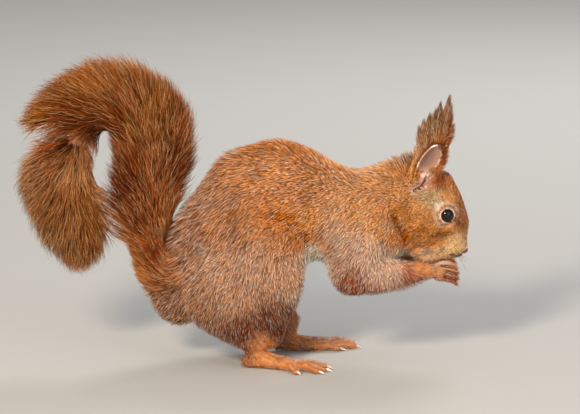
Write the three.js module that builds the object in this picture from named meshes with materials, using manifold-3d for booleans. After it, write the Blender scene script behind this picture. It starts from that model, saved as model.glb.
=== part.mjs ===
// A Eurasian red squirrel, life size, crouched on its hind feet with its forepaws held up to its mouth
// and its bushy tail raised, arched over backwards and hanging down behind it.
// Millimetres, +Z up. The animal faces +X, its right side is -Y, and it stands on z = 0.
// The solids reach out to the tips of the coat. Each is a loft along a curve, cut free of its neighbours.
import * as THREE from "three";
import Module from "manifold-3d";

const wasm = await Module();
wasm.setup();

// Driving sizes
const gap = 0.3; // clear space left between neighbouring pieces
const sliver = 0.14; // slivers that the cuts leave are merged away within this
const floorLevel = 0; // soles are cut flat here
const farLegStep = 19; // how far the left hind foot is set ahead of the right one
const eyeRadius = 5.3;
const noseRadius = 3.4;
const toeRadius = 2.3;
const fingerRadius = 1.75;
const clawLength = 5;
const clawTipHeight = 0.5; // a claw of the hind foot ends this far above the floor
const toeHeights = [1.05, 1.05, 0.6]; // of a toe's middle line above the floor, in toe radii
const digitTaper = 0.1; // share of its radius that a digit loses at each joint
const clawRoot = [0.62, 0.5]; // half sizes of a claw at its root and bend, in digit radii
const clawBend = [0.48, 0.4];
const clawArch = 0.25; // how far a claw arches up, in digit radii
const clawPoint = 0.3; // half size of a claw's point
const earDish = 2.7; // how far the hollow of the ear is set out from its back
const earRim = 1.5; // width of the rim round the hollow
const hollowShare = 0.95; // depth of the hollow as a share of the ear's own
const hollowDrop = 2.5; // the hollow stops this far below the tip of the ear
const samePoint = 1e4; // points of a sphere are the same within 1 / samePoint mm
const slenderSides = 12; // a loft with more sides than this has two sections in each rounded end

// Colours
const coat = { color: 0xb5602c, roughness: 0.85, metalness: 0 };
const tailCoat = { color: 0x9c4a22, roughness: 0.9, metalness: 0 };
const footCoat = { color: 0xc8692f, roughness: 0.8, metalness: 0 };
const earCoat = { color: 0xb06a45, roughness: 0.8, metalness: 0 };
const tuftHair = { color: 0x6e3018, roughness: 0.9, metalness: 0 };
const eyeBlack = { color: 0x0b0a0c, roughness: 0.08, metalness: 0 };
const noseSkin = { color: 0x3a2320, roughness: 0.5, metalness: 0 };

// Places along a loft, from 0 to 1: full sections in the middle and shrinking ones over the rounded ends.
// Each has its share of the full size, and how far it moves along the curve as the loft is grown.
function sectionPlaces(length, rings, capRings, caps) {
  const start = [];
  const finish = [];
  for (let i = 1; i <= capRings; i++) {
    const turn = (i / (capRings + 1)) * (Math.PI / 2);
    const inset = 1 - Math.cos(turn);
    const share = Math.sin(turn);
    start.push({ at: (caps[0] / length) * inset, share, outward: -Math.cos(turn) });
    finish.unshift({ at: 1 - (caps[1] / length) * inset, share, outward: Math.cos(turn) });
  }
  const from = caps[0] / length;
  const to = 1 - caps[1] / length;
  const middle = [];
  for (let i = 0; i < rings; i++)
    middle.push({ at: from + ((to - from) * i) / (rings - 1), share: 1, outward: 0 });
  return [...start, ...middle, ...finish];
}

// The points of one section: an ellipse where square is 2, and fuller at its corners above that.
function section(centre, up, side, halfUp, halfSide, sides, square) {
  const fuller = (v) => Math.sign(v) * Math.abs(v) ** (2 / square);
  const points = [];
  for (let k = 0; k < sides; k++) {
    const angle = (2 * Math.PI * k) / sides;
    const c = fuller(Math.cos(angle)) * halfUp;
    const s = fuller(Math.sin(angle)) * halfSide;
    points.push(centre.clone().addScaledVector(up, c).addScaledVector(side, s));
  }
  return points;
}

// The triangles between sections, and over the two poles that follow them in the list of points.
function loftTriangles(sections, sides) {
  const triangles = [];
  for (let i = 0; i < sections - 1; i++)
    for (let k = 0; k < sides; k++) {
      const a = i * sides + k;
      const b = i * sides + ((k + 1) % sides);
      triangles.push(a, b, b + sides, a, b + sides, a + sides);
    }
  const last = (sections - 1) * sides;
  const pole = sections * sides;
  for (let k = 0; k < sides; k++) {
    const next = (k + 1) % sides;
    triangles.push(pole, next, k, pole + 1, last + k, last + next);
  }
  return triangles;
}

// A closed loft. Each row is [x, y, z, up, side]: a point of the curve that the piece follows, its half
// size in the plane of the curve and its half size along the vector across. Both ends are rounded over
// the lengths in caps. The sections stand square to the curve, or all to the vector facing. The loft is
// returned as a function of how far its surface is grown outwards.
function loft(rows, options = {}) {
  const { sides = 20, rings = 12, caps = [8, 8], across = [0, 1, 0], square = 2, facing = null } = options;
  const path = new THREE.CatmullRomCurve3(rows.map(([x, y, z]) => new THREE.Vector3(x, y, z)));
  const sizes = new THREE.CatmullRomCurve3(rows.map((row) => new THREE.Vector3(row[3], row[4], 0)));
  const capRings = sides > slenderSides ? 2 : 1;
  const places = sectionPlaces(path.getLength(), rings, capRings, caps);

  return (grow = 0) => {
    const points = [];
    for (const { at, share, outward } of places) {
      const t = path.getUtoTmapping(at);
      const along = facing ? new THREE.Vector3(...facing).normalize() : path.getTangent(t);
      const side = new THREE.Vector3(...across);
      side.addScaledVector(along, -side.dot(along)).normalize();
      const up = new THREE.Vector3().crossVectors(along, side);
      const size = sizes.getPoint(t).multiplyScalar(share).addScalar(grow);
      const centre = path.getPoint(t).addScaledVector(along, outward * grow);
      points.push(...section(centre, up, side, size.x, size.y, sides, square));
    }
    points.push(path.getPoint(0).addScaledVector(path.getTangent(0), -grow));
    points.push(path.getPoint(1).addScaledVector(path.getTangent(1), grow));
    return solidFrom(points, loftTriangles(places.length, sides));
  };
}

function manifoldFrom(points, triangles) {
  const vertProperties = new Float32Array(points.flatMap((p) => [p.x, p.y, p.z]));
  const triVerts = new Uint32Array(triangles);
  return new wasm.Manifold(new wasm.Mesh({ numProp: 3, vertProperties, triVerts }));
}

// A solid from vectors and vertex numbers, turned to face outwards.
function solidFrom(points, triangles) {
  const made = manifoldFrom(points, triangles);
  if (made.volume() > 0) return made;
  return manifoldFrom(points, triangles.toReversed());
}

// A ball from three.js's own sphere, its poles lying along Y. Points that the sphere repeats are joined.
function ball([x, y, z], radius, across = 16, down = 10) {
  return (grow = 0) => {
    const sphere = new THREE.SphereGeometry(radius + grow, across, down);
    const position = sphere.getAttribute("position");
    const known = new Map();
    const points = [];
    const number = [];
    for (let i = 0; i < position.count; i++) {
      const place = new THREE.Vector3().fromBufferAttribute(position, i);
      const key = place.toArray().map((v) => Math.round(v * samePoint)).join();
      if (!known.has(key)) {
        known.set(key, points.length);
        points.push(place.add(new THREE.Vector3(x, y, z)));
      }
      number.push(known.get(key));
    }
    const triangles = [];
    const index = sphere.index.array;
    for (let i = 0; i < index.length; i += 3) {
      const [a, b, c] = [number[index[i]], number[index[i + 1]], number[index[i + 2]]];
      if (a !== b && b !== c && a !== c) triangles.push(a, b, c);
    }
    return solidFrom(points, triangles);
  };
}

// The biggest body of a solid, without the crumbs that a cut can leave.
function biggest(solid) {
  return solid.decompose().reduce((best, body) => (body.volume() > best.volume() ? body : best));
}

// A solid less its neighbours, each grown by the gap.
function clearOf(solid, ...neighbours) {
  return biggest(neighbours.reduce((left, neighbour) => left.subtract(neighbour(gap)), solid));
}

// A solid parted in two by a plane through a point, with the gap between. The normal points to the second
// part.
function part(solid, point, normal) {
  const n = new THREE.Vector3(...normal).normalize();
  const at = n.dot(new THREE.Vector3(...point));
  return [
    biggest(solid.trimByPlane([-n.x, -n.y, -n.z], -(at - gap / 2))),
    biggest(solid.trimByPlane([n.x, n.y, n.z], at + gap / 2)),
  ];
}

// The same rows on the left side of the animal.
const mirrored = (rows) => rows.map(([x, y, ...rest]) => [x, -y, ...rest]);

// Rows whose x is moved forward, more the lower a row stands, by up to step at the floor.
function stepped(rows, step, hipHeight) {
  return rows.map(([x, y, z, ...rest]) => {
    const share = Math.min(1, Math.max(0, 1 - z / hipHeight));
    return [x + step * share * share * (3 - 2 * share), y, z, ...rest];
  });
}

// Trunk and neck: one loft from the rump over the arched back to the nape
const torsoRows = [
  [-43.5, 0, 25, 9.8, 14],
  [-39, 0, 40.5, 17.5, 21],
  [-26, 0, 64, 24, 27],
  [-10, 0, 86.5, 31.5, 31.5],
  [11.5, 0, 100.4, 42.8, 34],
  [35.8, 0, 100, 38.4, 33],
  [58.2, 0, 94, 32.6, 30],
  [77.4, 0, 93.4, 33.4, 28],
  [94.7, 0, 100, 31.6, 25],
  [106.5, 0, 106.6, 31, 22],
  [118.5, 0, 113.5, 27, 18],
];
const torso = loft(torsoRows, { sides: 18, rings: 13, caps: [10, 8], square: 2.15 });
const neckCut = { point: [91, 0, 96], normal: [0.96, 0, 0.28] };

// Head: from the nape along the skull to the lips, which point down and forward
const headRows = [
  [107, 0, 117, 12.6, 11.5],
  [114.5, 0, 110, 21.2, 16],
  [117.8, 0, 100.2, 22.8, 18.4],
  [120.2, 0, 93.8, 23.8, 19.2],
  [123.6, 0, 88.2, 22.4, 18.6],
  [128.4, 0, 82.3, 19.4, 16],
  [132.3, 0, 78.3, 15.6, 12.8],
  [134, 0, 75, 12.3, 10.4],
  [136, 0, 72, 9.2, 8.4],
  [138.6, 0, 69.8, 6.4, 6],
  [140, 0, 68, 3.4, 3.6],
];
const headFacing = [0.623, 0, -0.782];
const head = loft(headRows, { sides: 16, rings: 9, caps: [8, 2], square: 2.1, facing: headFacing });
const jawRows = [
  [108.5, 0, 78.5, 4, 8],
  [114, 0, 74.5, 5.2, 9],
  [121, 0, 71, 5.2, 8.2],
  [129, 0, 68.8, 4, 5.5],
  [134.5, 0, 67.6, 2.6, 3.6],
];
const jaw = loft(jawRows, { sides: 10, rings: 4, caps: [4, 2.5] });
const nose = ball([140.6, 0, 70.8], noseRadius, 10, 6);
const eyePlace = [128.7, -13.2, 97.1];

// Ears: a leaf with a hollow face, and the long winter tuft that stands on it
const earRows = [
  [112, -10.5, 106, 4.2, 5],
  [115.4, -12.6, 117, 4.6, 8],
  [118.6, -14.2, 126.5, 4.2, 8.8],
  [121.8, -15.3, 134, 3.2, 7.2],
  [124.4, -15.9, 140.6, 1.7, 3],
];
const earFaces = new THREE.Vector3(0.4, -0.9, 0.1).normalize();
const earWay = new THREE.Vector3(12, -5, 33).normalize();
const earAcross = new THREE.Vector3().crossVectors(earWay, earFaces).toArray();
const wholeEar = loft(earRows, { sides: 12, rings: 5, caps: [3, 2.5], across: earAcross });
const tuftRows = [
  [120.8, -15.2, 133, 2.4, 9],
  [122, -16, 142.5, 3, 10.8],
  [124.8, -16.6, 150.5, 2.7, 9.2],
  [128.3, -17.1, 158.3, 2, 5.6],
  [130.8, -17.4, 164.1, 1.4, 2.8],
  [132, -17.6, 169.5, 0.8, 1],
];

// Tail: the rising length and its arch, and the tip that hangs from the fold
const tailRows = [
  [-40, 0, 43, 13, 9.5],
  [-49, 0, 54.5, 16.5, 11.5],
  [-56.5, 0, 71.1, 17.8, 13.5],
  [-60.6, 0, 90.4, 19.6, 15],
  [-60.6, 0, 109.8, 22.5, 16],
  [-58.2, 0, 129.2, 25.8, 17],
  [-61, 0, 149.9, 27.4, 17.5],
  [-73, 0, 165.6, 28, 18],
  [-92.5, 0, 170.8, 25.2, 17],
  [-112, 0, 166, 19.5, 15],
  [-127, 0, 158.6, 14.2, 12],
  [-139.5, 0, 151.5, 6.4, 6],
];
const tail = loft(tailRows, { sides: 14, rings: 17, caps: [6, 6] });
const hangRows = [
  [-101, 0, 152, 7.5, 8],
  [-110, 0, 137, 15.5, 13],
  [-117.3, 0, 119.5, 25, 16],
  [-114.4, 0, 100.1, 24.2, 16.5],
  [-107.8, 0, 80.8, 22, 14],
  [-105.4, 0, 67.8, 15, 10.5],
  [-104.6, 0, 57, 6, 6],
];
const hang = loft(hangRows, { sides: 14, rings: 8, caps: [6, 8] });
const tailCuts = {
  rise: { point: [-57, 0, 76], normal: [-0.4, 0, 0.92] },
  arch: { point: [-60.5, 0, 140], normal: [-0.12, 0, 0.99] },
  fold: { point: [-97, 0, 172], normal: [-1, 0, -0.1] },
};

// Hind legs: the folded thigh and shank as one loft down to the ankle
const legRows = [
  [12.8, -19, 93, 18, 8],
  [9.6, -22, 77.5, 32.1, 14],
  [3.2, -24, 63.3, 37.3, 16.5],
  [-0.6, -25, 48.5, 38.6, 17],
  [-3, -25, 35.5, 37, 15.5],
  [-0.6, -25.5, 24.5, 30.5, 12.5],
  [6.6, -26, 16.2, 20.6, 9],
  [11.5, -26.5, 8.4, 12.2, 6.5],
  [12.8, -27, 4, 8.4, 5],
];
const legOptions = { sides: 14, rings: 8, caps: [9, 2], facing: [0, 0, -1] };
const shankCut = { point: [0, 0, 34], normal: [0.1, 0, -1] };
const ankleCut = { point: [0, 0, 11], normal: [0, 0, -1] };

// Hind feet: a long sole that widens to the ball, and five splayed toes with claws
const soleRows = [
  [-4.5, -26, 4.6, 3.6, 3.4],
  [1, -26.3, 6.2, 6.6, 5],
  [9, -27.2, 6.4, 6.9, 5.6],
  [19, -28.6, 4.8, 5.2, 6.2],
  [28, -30.4, 3.6, 4, 8],
  [34, -31.8, 2.9, 3.2, 8.6],
  [38, -32.4, 2.2, 2.2, 6],
];
const toes = [
  { from: [26, -36], to: [33.5, -48], radius: 1 },
  { from: [33, -36.5], to: [47, -46.5], radius: 1.08 },
  { from: [35.5, -33.5], to: [51.5, -40], radius: 1.08 },
  { from: [35, -30], to: [52, -32.5], radius: 1.04 },
  { from: [29, -26], to: [42, -24.5], radius: 0.9 },
];

// Arms: the upper arm lies along the chest, the forearm reaches forward to the mouth
const upperArmRows = [
  [76.8, -15, 107.2, 10.3, 7],
  [74.2, -19, 90.4, 19.3, 11],
  [69.8, -22.5, 72.4, 19.3, 12],
  [68.4, -25, 56.8, 14.8, 10.5],
  [68, -25, 45.4, 6.4, 6],
];
const forearmRows = [
  [65.3, -25, 57.8, 9.6, 8],
  [72.8, -25, 58.2, 13.2, 10],
  [89.6, -21, 58, 13, 9.5],
  [106.2, -15, 59.2, 9.3, 7.2],
  [117, -10.8, 59.8, 6.2, 4.8],
  [123, -8.8, 59.6, 5, 3.6],
];
const wristCut = { point: [118, 0, 60], normal: [0.95, 0.3, 0] };
const palmRows = [
  [114, -11, 59.6, 5.4, 3.8],
  [120.5, -9.2, 59.6, 5.4, 3.6],
  [126, -7.6, 59, 6.8, 3.4],
  [130.5, -6.6, 58.2, 7.2, 3],
  [133, -6.2, 57.8, 5.4, 2.4],
];
const fingerHeights = [63.6, 60, 56.3, 52.8];
const fingerJoints = [
  [129, -6.9, 0],
  [133.4, -6.5, -0.3],
  [136.3, -4.8, -1.2],
  [136.9, -3.2, -2.4],
]; // z from the finger's own height
const fingerClawEnd = [136.2, -1.8, -4.2];
const middleReach = 0.8; // how much further the two middle fingers reach

// A digit with its claw: its radius tapers along the points, and the claw curves down from the last one.
function digit(points, radius, clawEnd) {
  const rows = points.map((point, i) => {
    const size = radius * (1 - digitTaper * i);
    return [...point, size, size];
  });
  const tip = points[points.length - 1];
  const bend = tip.map((v, i) => (v + clawEnd[i]) / 2);
  bend[2] += clawArch * radius;
  const claw = [
    [...tip, clawRoot[0] * radius, clawRoot[1] * radius],
    [...bend, clawBend[0] * radius, clawBend[1] * radius],
    [...clawEnd, clawPoint, clawPoint],
  ];
  const toe = loft(rows, { sides: 6, rings: 3, caps: [radius * 0.6, radius * 0.8] })();
  return toe.add(loft(claw, { sides: 4, rings: 2, caps: [0.4, clawPoint] })());
}

function hindFoot(forward) {
  let foot = loft(soleRows, { sides: 8, rings: 5, caps: [3.5, 2.5] })();
  for (const { from, to, radius } of toes) {
    const r = toeRadius * radius;
    const way = new THREE.Vector2(to[0] - from[0], to[1] - from[1]).normalize();
    const middle = [(from[0] + to[0]) / 2, (from[1] + to[1]) / 2];
    const points = [from, middle, to].map((place, i) => [...place, r * toeHeights[i]]);
    const clawEnd = [to[0] + way.x * clawLength, to[1] + way.y * clawLength, clawTipHeight];
    foot = foot.add(digit(points, r, clawEnd));
  }
  return foot.trimByPlane([0, 0, 1], floorLevel).translate([forward, 0, 0]);
}

function hand() {
  let made = loft(palmRows, { sides: 8, rings: 4, caps: [3, 2] })();
  fingerHeights.forEach((height, i) => {
    const outer = i === 0 || i === fingerHeights.length - 1;
    const reach = outer ? 0 : middleReach;
    const placed = ([x, y, z], ahead) => [x + ahead, y, height + z];
    const points = fingerJoints.map((joint, k) => placed(joint, k > 0 ? reach : 0));
    made = made.add(digit(points, fingerRadius, placed(fingerClawEnd, reach)));
  });
  return made;
}

// The ear with its hollow face.
function ear() {
  const set = earFaces.clone().multiplyScalar(earDish);
  const hollow = earRows.slice(1).map(([x, y, z, up, side], i, all) => {
    const drop = i === all.length - 1 ? hollowDrop : 0;
    return [x + set.x, y + set.y, z + set.z - drop, up * hollowShare, side - earRim];
  });
  return wholeEar().subtract(loft(hollow, { sides: 8, rings: 3, caps: [3, 2.5], across: earAcross })());
}

// Pieces, each cut clear of the ones it lies against
const group = new THREE.Group();

function add(name, cut, finish) {
  const solid = cut.simplify(sliver);
  const mesh = solid.getMesh();
  const geometry = new THREE.BufferGeometry();
  const positions = new Float32Array(mesh.numVert * 3);
  for (let i = 0; i < mesh.numVert; i++)
    for (let k = 0; k < 3; k++) positions[i * 3 + k] = mesh.vertProperties[i * mesh.numProp + k];
  geometry.setAttribute("position", new THREE.BufferAttribute(positions, 3));
  geometry.setIndex(new THREE.BufferAttribute(mesh.triVerts, 1));
  const made = new THREE.Mesh(geometry, new THREE.MeshStandardMaterial(finish));
  made.name = name;
  group.add(made);
}

const mirror = (solid) => solid.mirror([0, 1, 0]);
const leftTwin = (shape) => (grow = 0) => mirror(shape(grow));

const rightLeg = loft(legRows, legOptions);
const leftLegRows = stepped(mirrored(legRows), farLegStep, 32);
const leftLeg = loft(leftLegRows, legOptions);
const upperArm = loft(upperArmRows, { sides: 12, rings: 6, caps: [9, 7], facing: [0, 0, -1] });
const forearm = loft(forearmRows, { sides: 12, rings: 6, caps: [6, 2] });
const rightEye = ball(eyePlace, eyeRadius, 12, 6);
const tuft = loft(tuftRows, { sides: 8, rings: 5, caps: [3, 1.5], across: [1, 0.4, -0.3] });

// Trunk and neck
const limbs = [rightLeg, leftLeg, upperArm, leftTwin(upperArm), forearm, leftTwin(forearm)];
const [trunk, neck] = part(torso(), neckCut.point, neckCut.normal);
add("trunk", clearOf(trunk, ...limbs), coat);
add("neck", clearOf(neck, head, jaw, ...limbs), coat);

// Head, jaw, nose and eyes
add("head", clearOf(head(), jaw, nose, rightEye, leftTwin(rightEye)), coat);
add("lower_jaw", clearOf(jaw(), nose), coat);
add("nose", nose(), noseSkin);
add("eye_right", rightEye(), eyeBlack);
add("eye_left", mirror(rightEye()), eyeBlack);

// Ears and tufts
const rightEar = clearOf(ear(), head, torso);
const rightTuft = clearOf(tuft(), wholeEar, head);
add("ear_right", rightEar, earCoat);
add("ear_left", mirror(rightEar), earCoat);
add("ear_tuft_right", rightTuft, tuftHair);
add("ear_tuft_left", mirror(rightTuft), tuftHair);

// Tail, from its root to the hanging tip
const wholeTail = clearOf(tail(), torso, rightLeg, leftLeg);
const [root, aboveRoot] = part(wholeTail, tailCuts.rise.point, tailCuts.rise.normal);
const [rise, aboveRise] = part(aboveRoot, tailCuts.arch.point, tailCuts.arch.normal);
const [arch, fold] = part(aboveRise, tailCuts.fold.point, tailCuts.fold.normal);
add("tail_root", root, tailCoat);
add("tail_rise", rise, tailCoat);
add("tail_arch", arch, tailCoat);
add("tail_fold", fold, tailCoat);
add("tail_tip", clearOf(hang(), tail), tailCoat);

// Hind legs
for (const [side, shape, forward] of [["right", rightLeg, 0], ["left", leftLeg, farLegStep]]) {
  const sole = hindFoot(forward);
  const foot = side === "left" ? mirror(sole) : sole;
  const [thigh, below] = part(shape(), shankCut.point, shankCut.normal);
  const [shank, stub] = part(below, ankleCut.point, ankleCut.normal);
  const ankle = foot.add(stub).trimByPlane([0, 0, 1], floorLevel);
  const [, lower] = part(ankle, ankleCut.point, ankleCut.normal);
  add("thigh_" + side, thigh, coat);
  add("shank_" + side, shank, coat);
  add("hind_foot_" + side, lower, footCoat);
}

// Arms and hands
const rightUpperArm = clearOf(upperArm(), forearm);
const [rightForearm] = part(clearOf(forearm(), jaw, head), wristCut.point, wristCut.normal);
const [, rightHand] = part(clearOf(hand(), jaw, head, nose), wristCut.point, wristCut.normal);
for (const [name, solid, finish] of [
  ["upper_arm", rightUpperArm, coat],
  ["forearm", rightForearm, coat],
  ["hand", rightHand, footCoat],
]) {
  add(name + "_right", solid, finish);
  add(name + "_left", mirror(solid), finish);
}

// The part's origin is the middle of its footprint on the floor.
const extent = new THREE.Box3().setFromObject(group);
const middle = extent.getCenter(new THREE.Vector3());
group.position.set(-middle.x, -middle.y, -extent.min.z);

export default group;
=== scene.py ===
import math
import bpy
import numpy as np
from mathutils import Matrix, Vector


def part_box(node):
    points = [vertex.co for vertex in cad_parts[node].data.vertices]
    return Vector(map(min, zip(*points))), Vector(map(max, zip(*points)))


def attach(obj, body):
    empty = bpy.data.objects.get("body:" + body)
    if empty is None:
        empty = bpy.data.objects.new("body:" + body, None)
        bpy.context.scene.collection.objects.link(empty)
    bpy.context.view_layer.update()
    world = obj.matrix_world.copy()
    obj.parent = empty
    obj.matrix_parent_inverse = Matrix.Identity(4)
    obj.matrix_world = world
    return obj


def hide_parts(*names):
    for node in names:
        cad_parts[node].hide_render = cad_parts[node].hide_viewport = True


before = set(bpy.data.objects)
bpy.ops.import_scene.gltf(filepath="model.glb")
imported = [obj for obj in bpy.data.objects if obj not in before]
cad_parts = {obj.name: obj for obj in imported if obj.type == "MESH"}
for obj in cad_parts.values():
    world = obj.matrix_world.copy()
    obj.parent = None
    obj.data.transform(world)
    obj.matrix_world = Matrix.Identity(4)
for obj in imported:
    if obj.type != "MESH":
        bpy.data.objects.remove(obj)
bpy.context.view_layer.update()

import openvdb
from mathutils import Vector
from mathutils.kdtree import KDTree

mm = 0.001
rng = np.random.default_rng(7)


def hexToLinear(code):
    # "#b5602c" -> linear red, green and blue, from 0 to 1
    channels = [int(code[i:i + 2], 16) / 255 for i in (1, 3, 5)]
    return tuple(c / 12.92 if c <= 0.04045 else ((c + 0.055) / 1.055) ** 2.4 for c in channels)


def unit(v):
    v = np.asarray(v, float)
    return v / np.maximum(np.linalg.norm(v, axis=-1, keepdims=True), 1e-9)


def smoothStep(low, high, x):
    t = np.clip((x - low) / (high - low), 0, 1)
    return t * t * (3 - 2 * t)


def middleOf(node):
    low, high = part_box(node)
    return np.array((low + high) / 2) / mm


def makePiece(name, points, faces, material):
    # points in mm, faces as an array of equal rows (3 or 4 corners)
    mesh = bpy.data.meshes.new(name)
    faces = np.asarray(faces, np.int32)
    corners = faces.shape[1]
    mesh.vertices.add(len(points))
    mesh.vertices.foreach_set("co", (np.asarray(points, np.float32) * mm).ravel())
    mesh.loops.add(faces.size)
    mesh.loops.foreach_set("vertex_index", faces.ravel())
    mesh.polygons.add(len(faces))
    mesh.polygons.foreach_set("loop_start", np.arange(0, faces.size, corners, dtype=np.int32))
    mesh.update(calc_edges=True)
    mesh.shade_smooth()
    piece = bpy.data.objects.new(name, mesh)
    bpy.context.scene.collection.objects.link(piece)
    if material:
        mesh.materials.append(material)
    return piece


def placePiece(piece, slot, *nodes):
    # the piece is part of the one body, and shows these nodes of the CAD model
    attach(piece, "root")
    if nodes:
        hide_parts(*nodes)


def readPoints(mesh):
    co = np.empty(len(mesh.vertices) * 3, np.float32)
    mesh.vertices.foreach_get("co", co)
    return co.reshape(-1, 3) / mm


def readTriangles(mesh):
    mesh.calc_loop_triangles()
    tris = np.empty(len(mesh.loop_triangles) * 3, np.int32)
    mesh.loop_triangles.foreach_get("vertices", tris)
    return tris.reshape(-1, 3)


# Places below are in mm on the part's own drawing, where the animal stands on z = 0 and faces +X with its
# right side towards -Y. The right eye is at (128.7, -13.2, 97.1) there, which ties the drawing to the frame.
drawingEye = np.array([128.7, -13.2, 97.1])
drawingHome = middleOf("eye_right") - drawingEye


skinSizes = {
    "voxel": 0.65,  # mm between the points of the field
    "seam": 0.4,  # the solids are grown by this so that the gaps between them close
    "rounding": 1.3,  # how far the facets of the solids are blurred away
    "bodyRounding": 4.0,  # the same on the trunk, legs and tail
    "bodyLoss": 0.45,  # what that blur takes off the outside of a limb
    "band": 14,  # distances are right this far from the surface
    "floor": 0.2,  # what the field is raised to under the floor
    "tailCore": 5.5,  # radius of the tail's own core
    "triangles": 150000,  # left in the skin
}

rightAndLeft = (("right", -1), ("left", 1))
fleshNodes = ["trunk", "neck", "head", "lower_jaw"]
fleshNodes += ["tail_" + part for part in ("root", "rise", "arch", "fold", "tip")]
fleshNodes += [part + name for part in ("thigh_", "shank_", "upper_arm_", "forearm_")
               for name, _ in rightAndLeft]

# How deep the coat is, in mm, at places on the animal: (x, y, z), depth. y stands for both sides.
coatDepths = [
    ((138, 0, 72), 0.5), ((134, 8, 74), 0.7), ((138, 0, 90), 0.8), ((130, 12, 95), 0.9),
    ((124, 12, 76), 1.1), ((134, 0, 110), 1.2), ((120, 15, 92), 1.5), ((118, 10, 115), 1.4),
    ((112, 14, 100), 2.0), ((110, 0, 78), 1.8), ((106, 0, 128), 5.0), ((104, 0, 136), 6.0),
    ((110, 0, 134), 6.0), ((100, 18, 100), 2.6), ((84, 0, 122), 3.2), ((84, 22, 90), 2.8),
    ((88, 0, 66), 2.8), ((60, 0, 126), 3.2), ((36, 0, 136), 3.2), ((10, 0, 140), 3.2),
    ((-15, 0, 120), 3.2), ((-30, 0, 95), 3.2), ((36, 30, 100), 3.0), ((5, 30, 100), 3.0),
    ((60, 26, 80), 2.8), ((40, 10, 62), 2.8), ((-40, 0, 60), 3.4), ((-46, 0, 30), 4.0),
    ((-20, 35, 60), 3.0), ((5, 40, 60), 3.0), ((30, 38, 60), 2.8), ((0, 36, 30), 2.6),
    ((-25, 30, 30), 3.2), ((28, 34, 26), 2.0), ((12, 28, 14), 1.2), ((12, 28, 6), 0.8),
    ((70, 34, 70), 2.6), ((68, 30, 48), 2.6), ((90, 26, 52), 2.4), ((106, 18, 54), 1.8),
    ((118, 11, 58), 1.0), ((126, 8, 60), 0.6), ((-52, 0, 56), 4.5), ((-58, 0, 75), 6.5),
    ((-60, 0, 95), 8.5), ((-60, 0, 130), 9.5), ((-62, 0, 155), 9.5), ((-80, 0, 172), 9.5),
    ((-100, 0, 168), 9.0), ((-120, 0, 160), 8.0), ((-138, 0, 152), 6.0), ((-106, 0, 140), 8.0),
    ((-115, 0, 120), 9.0), ((-114, 0, 95), 9.0), ((-108, 0, 72), 8.0), ((-105, 0, 60), 5.0),
]


def bothSides(rows):
    # every row with y above 0 is given again on the other side
    out = []
    for place, *rest in rows:
        out.append((place, *rest))
        if place[1] > 0:
            out.append(((place[0], -place[1], place[2]), *rest))
    return out


def spread(places, values, points, reach):
    # values known at places, spread to points: nearer places count for much more
    places = np.asarray(places, np.float32)
    values = np.asarray(values, np.float32)
    if values.ndim == 1:
        values = values[:, None]
    out = np.zeros((len(points), values.shape[1]), np.float32)
    most = 100000  # points at a time
    for start in range(0, len(points), most):
        block = points[start:start + most]
        d2 = ((block[:, None, :] - places[None]) ** 2).sum(-1)
        weight = 1 / (d2 + reach * reach) ** 2
        out[start:start + most] = weight @ values / weight.sum(1, keepdims=True)
    return out


def gridLines(low, high, step):
    # where the grid's points are along x, y and z
    return [low[i] + step * np.arange(int(math.ceil((high[i] - low[i]) / step)) + 1) for i in range(3)]


def fieldFrom(points, triangles, low, shape, voxel, reach):
    # signed distance in mm on a regular grid, right within reach of the surface
    place = openvdb.createLinearTransform(voxel)
    grid = openvdb.FloatGrid.createLevelSetFromPolygons(
        (points - low).astype(np.float32), triangles=triangles.astype(np.int32), transform=place,
        halfWidth=reach / voxel)
    field = np.empty(shape, np.float32)
    grid.copyToArray(field, ijk=(0, 0, 0))
    return field


def meshFrom(field, low, voxel):
    # the surface of a field, as corners and faces of four
    grid = openvdb.FloatGrid(float(field.max()))
    grid.copyFromArray(field, tolerance=0)
    grid.transform = openvdb.createLinearTransform(voxel)
    points, quads = grid.convertToQuads(isovalue=0.0)
    return points + low, quads.astype(np.int32)


def blur(field, width):
    # Gaussian blur along each axis, width in grid steps
    reach = int(math.ceil(width * 2.5))
    kernel = np.exp(-0.5 * (np.arange(-reach, reach + 1) / width) ** 2)
    kernel /= kernel.sum()
    for axis in range(3):
        padded = np.pad(field, [(reach, reach) if a == axis else (0, 0) for a in range(3)], mode="edge")
        out = np.zeros_like(field)
        for i, k in enumerate(kernel):
            cut = [slice(None)] * 3
            cut[axis] = slice(i, i + field.shape[axis])
            out += np.float32(k) * padded[tuple(cut)]
        field = out
    return field


def fuseSolids():
    # the CAD's solids of flesh as one set of triangles, grown until they overlap
    points, triangles, count = [], [], 0
    for name in fleshNodes:
        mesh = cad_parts[name].data
        co = readPoints(mesh)
        tris = readTriangles(mesh)
        normals = np.zeros_like(co)
        # glTF splits corners, so corners at one place share a normal
        _, same = np.unique(np.round(co, 3), axis=0, return_inverse=True)
        same = same.ravel()
        across = np.cross(co[tris[:, 1]] - co[tris[:, 0]], co[tris[:, 2]] - co[tris[:, 0]])
        total = np.zeros((same.max() + 1, 3))
        for k in range(3):
            np.add.at(total, same[tris[:, k]], across)
        normals = unit(total)[same]
        points.append(co + normals * skinSizes["seam"])
        triangles.append(tris + count)
        count += len(co)
    return np.concatenate(points), np.concatenate(triangles)


# Shapes as distances. Each takes the points x, y, z of a window and gives the distance to its surface.

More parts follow.
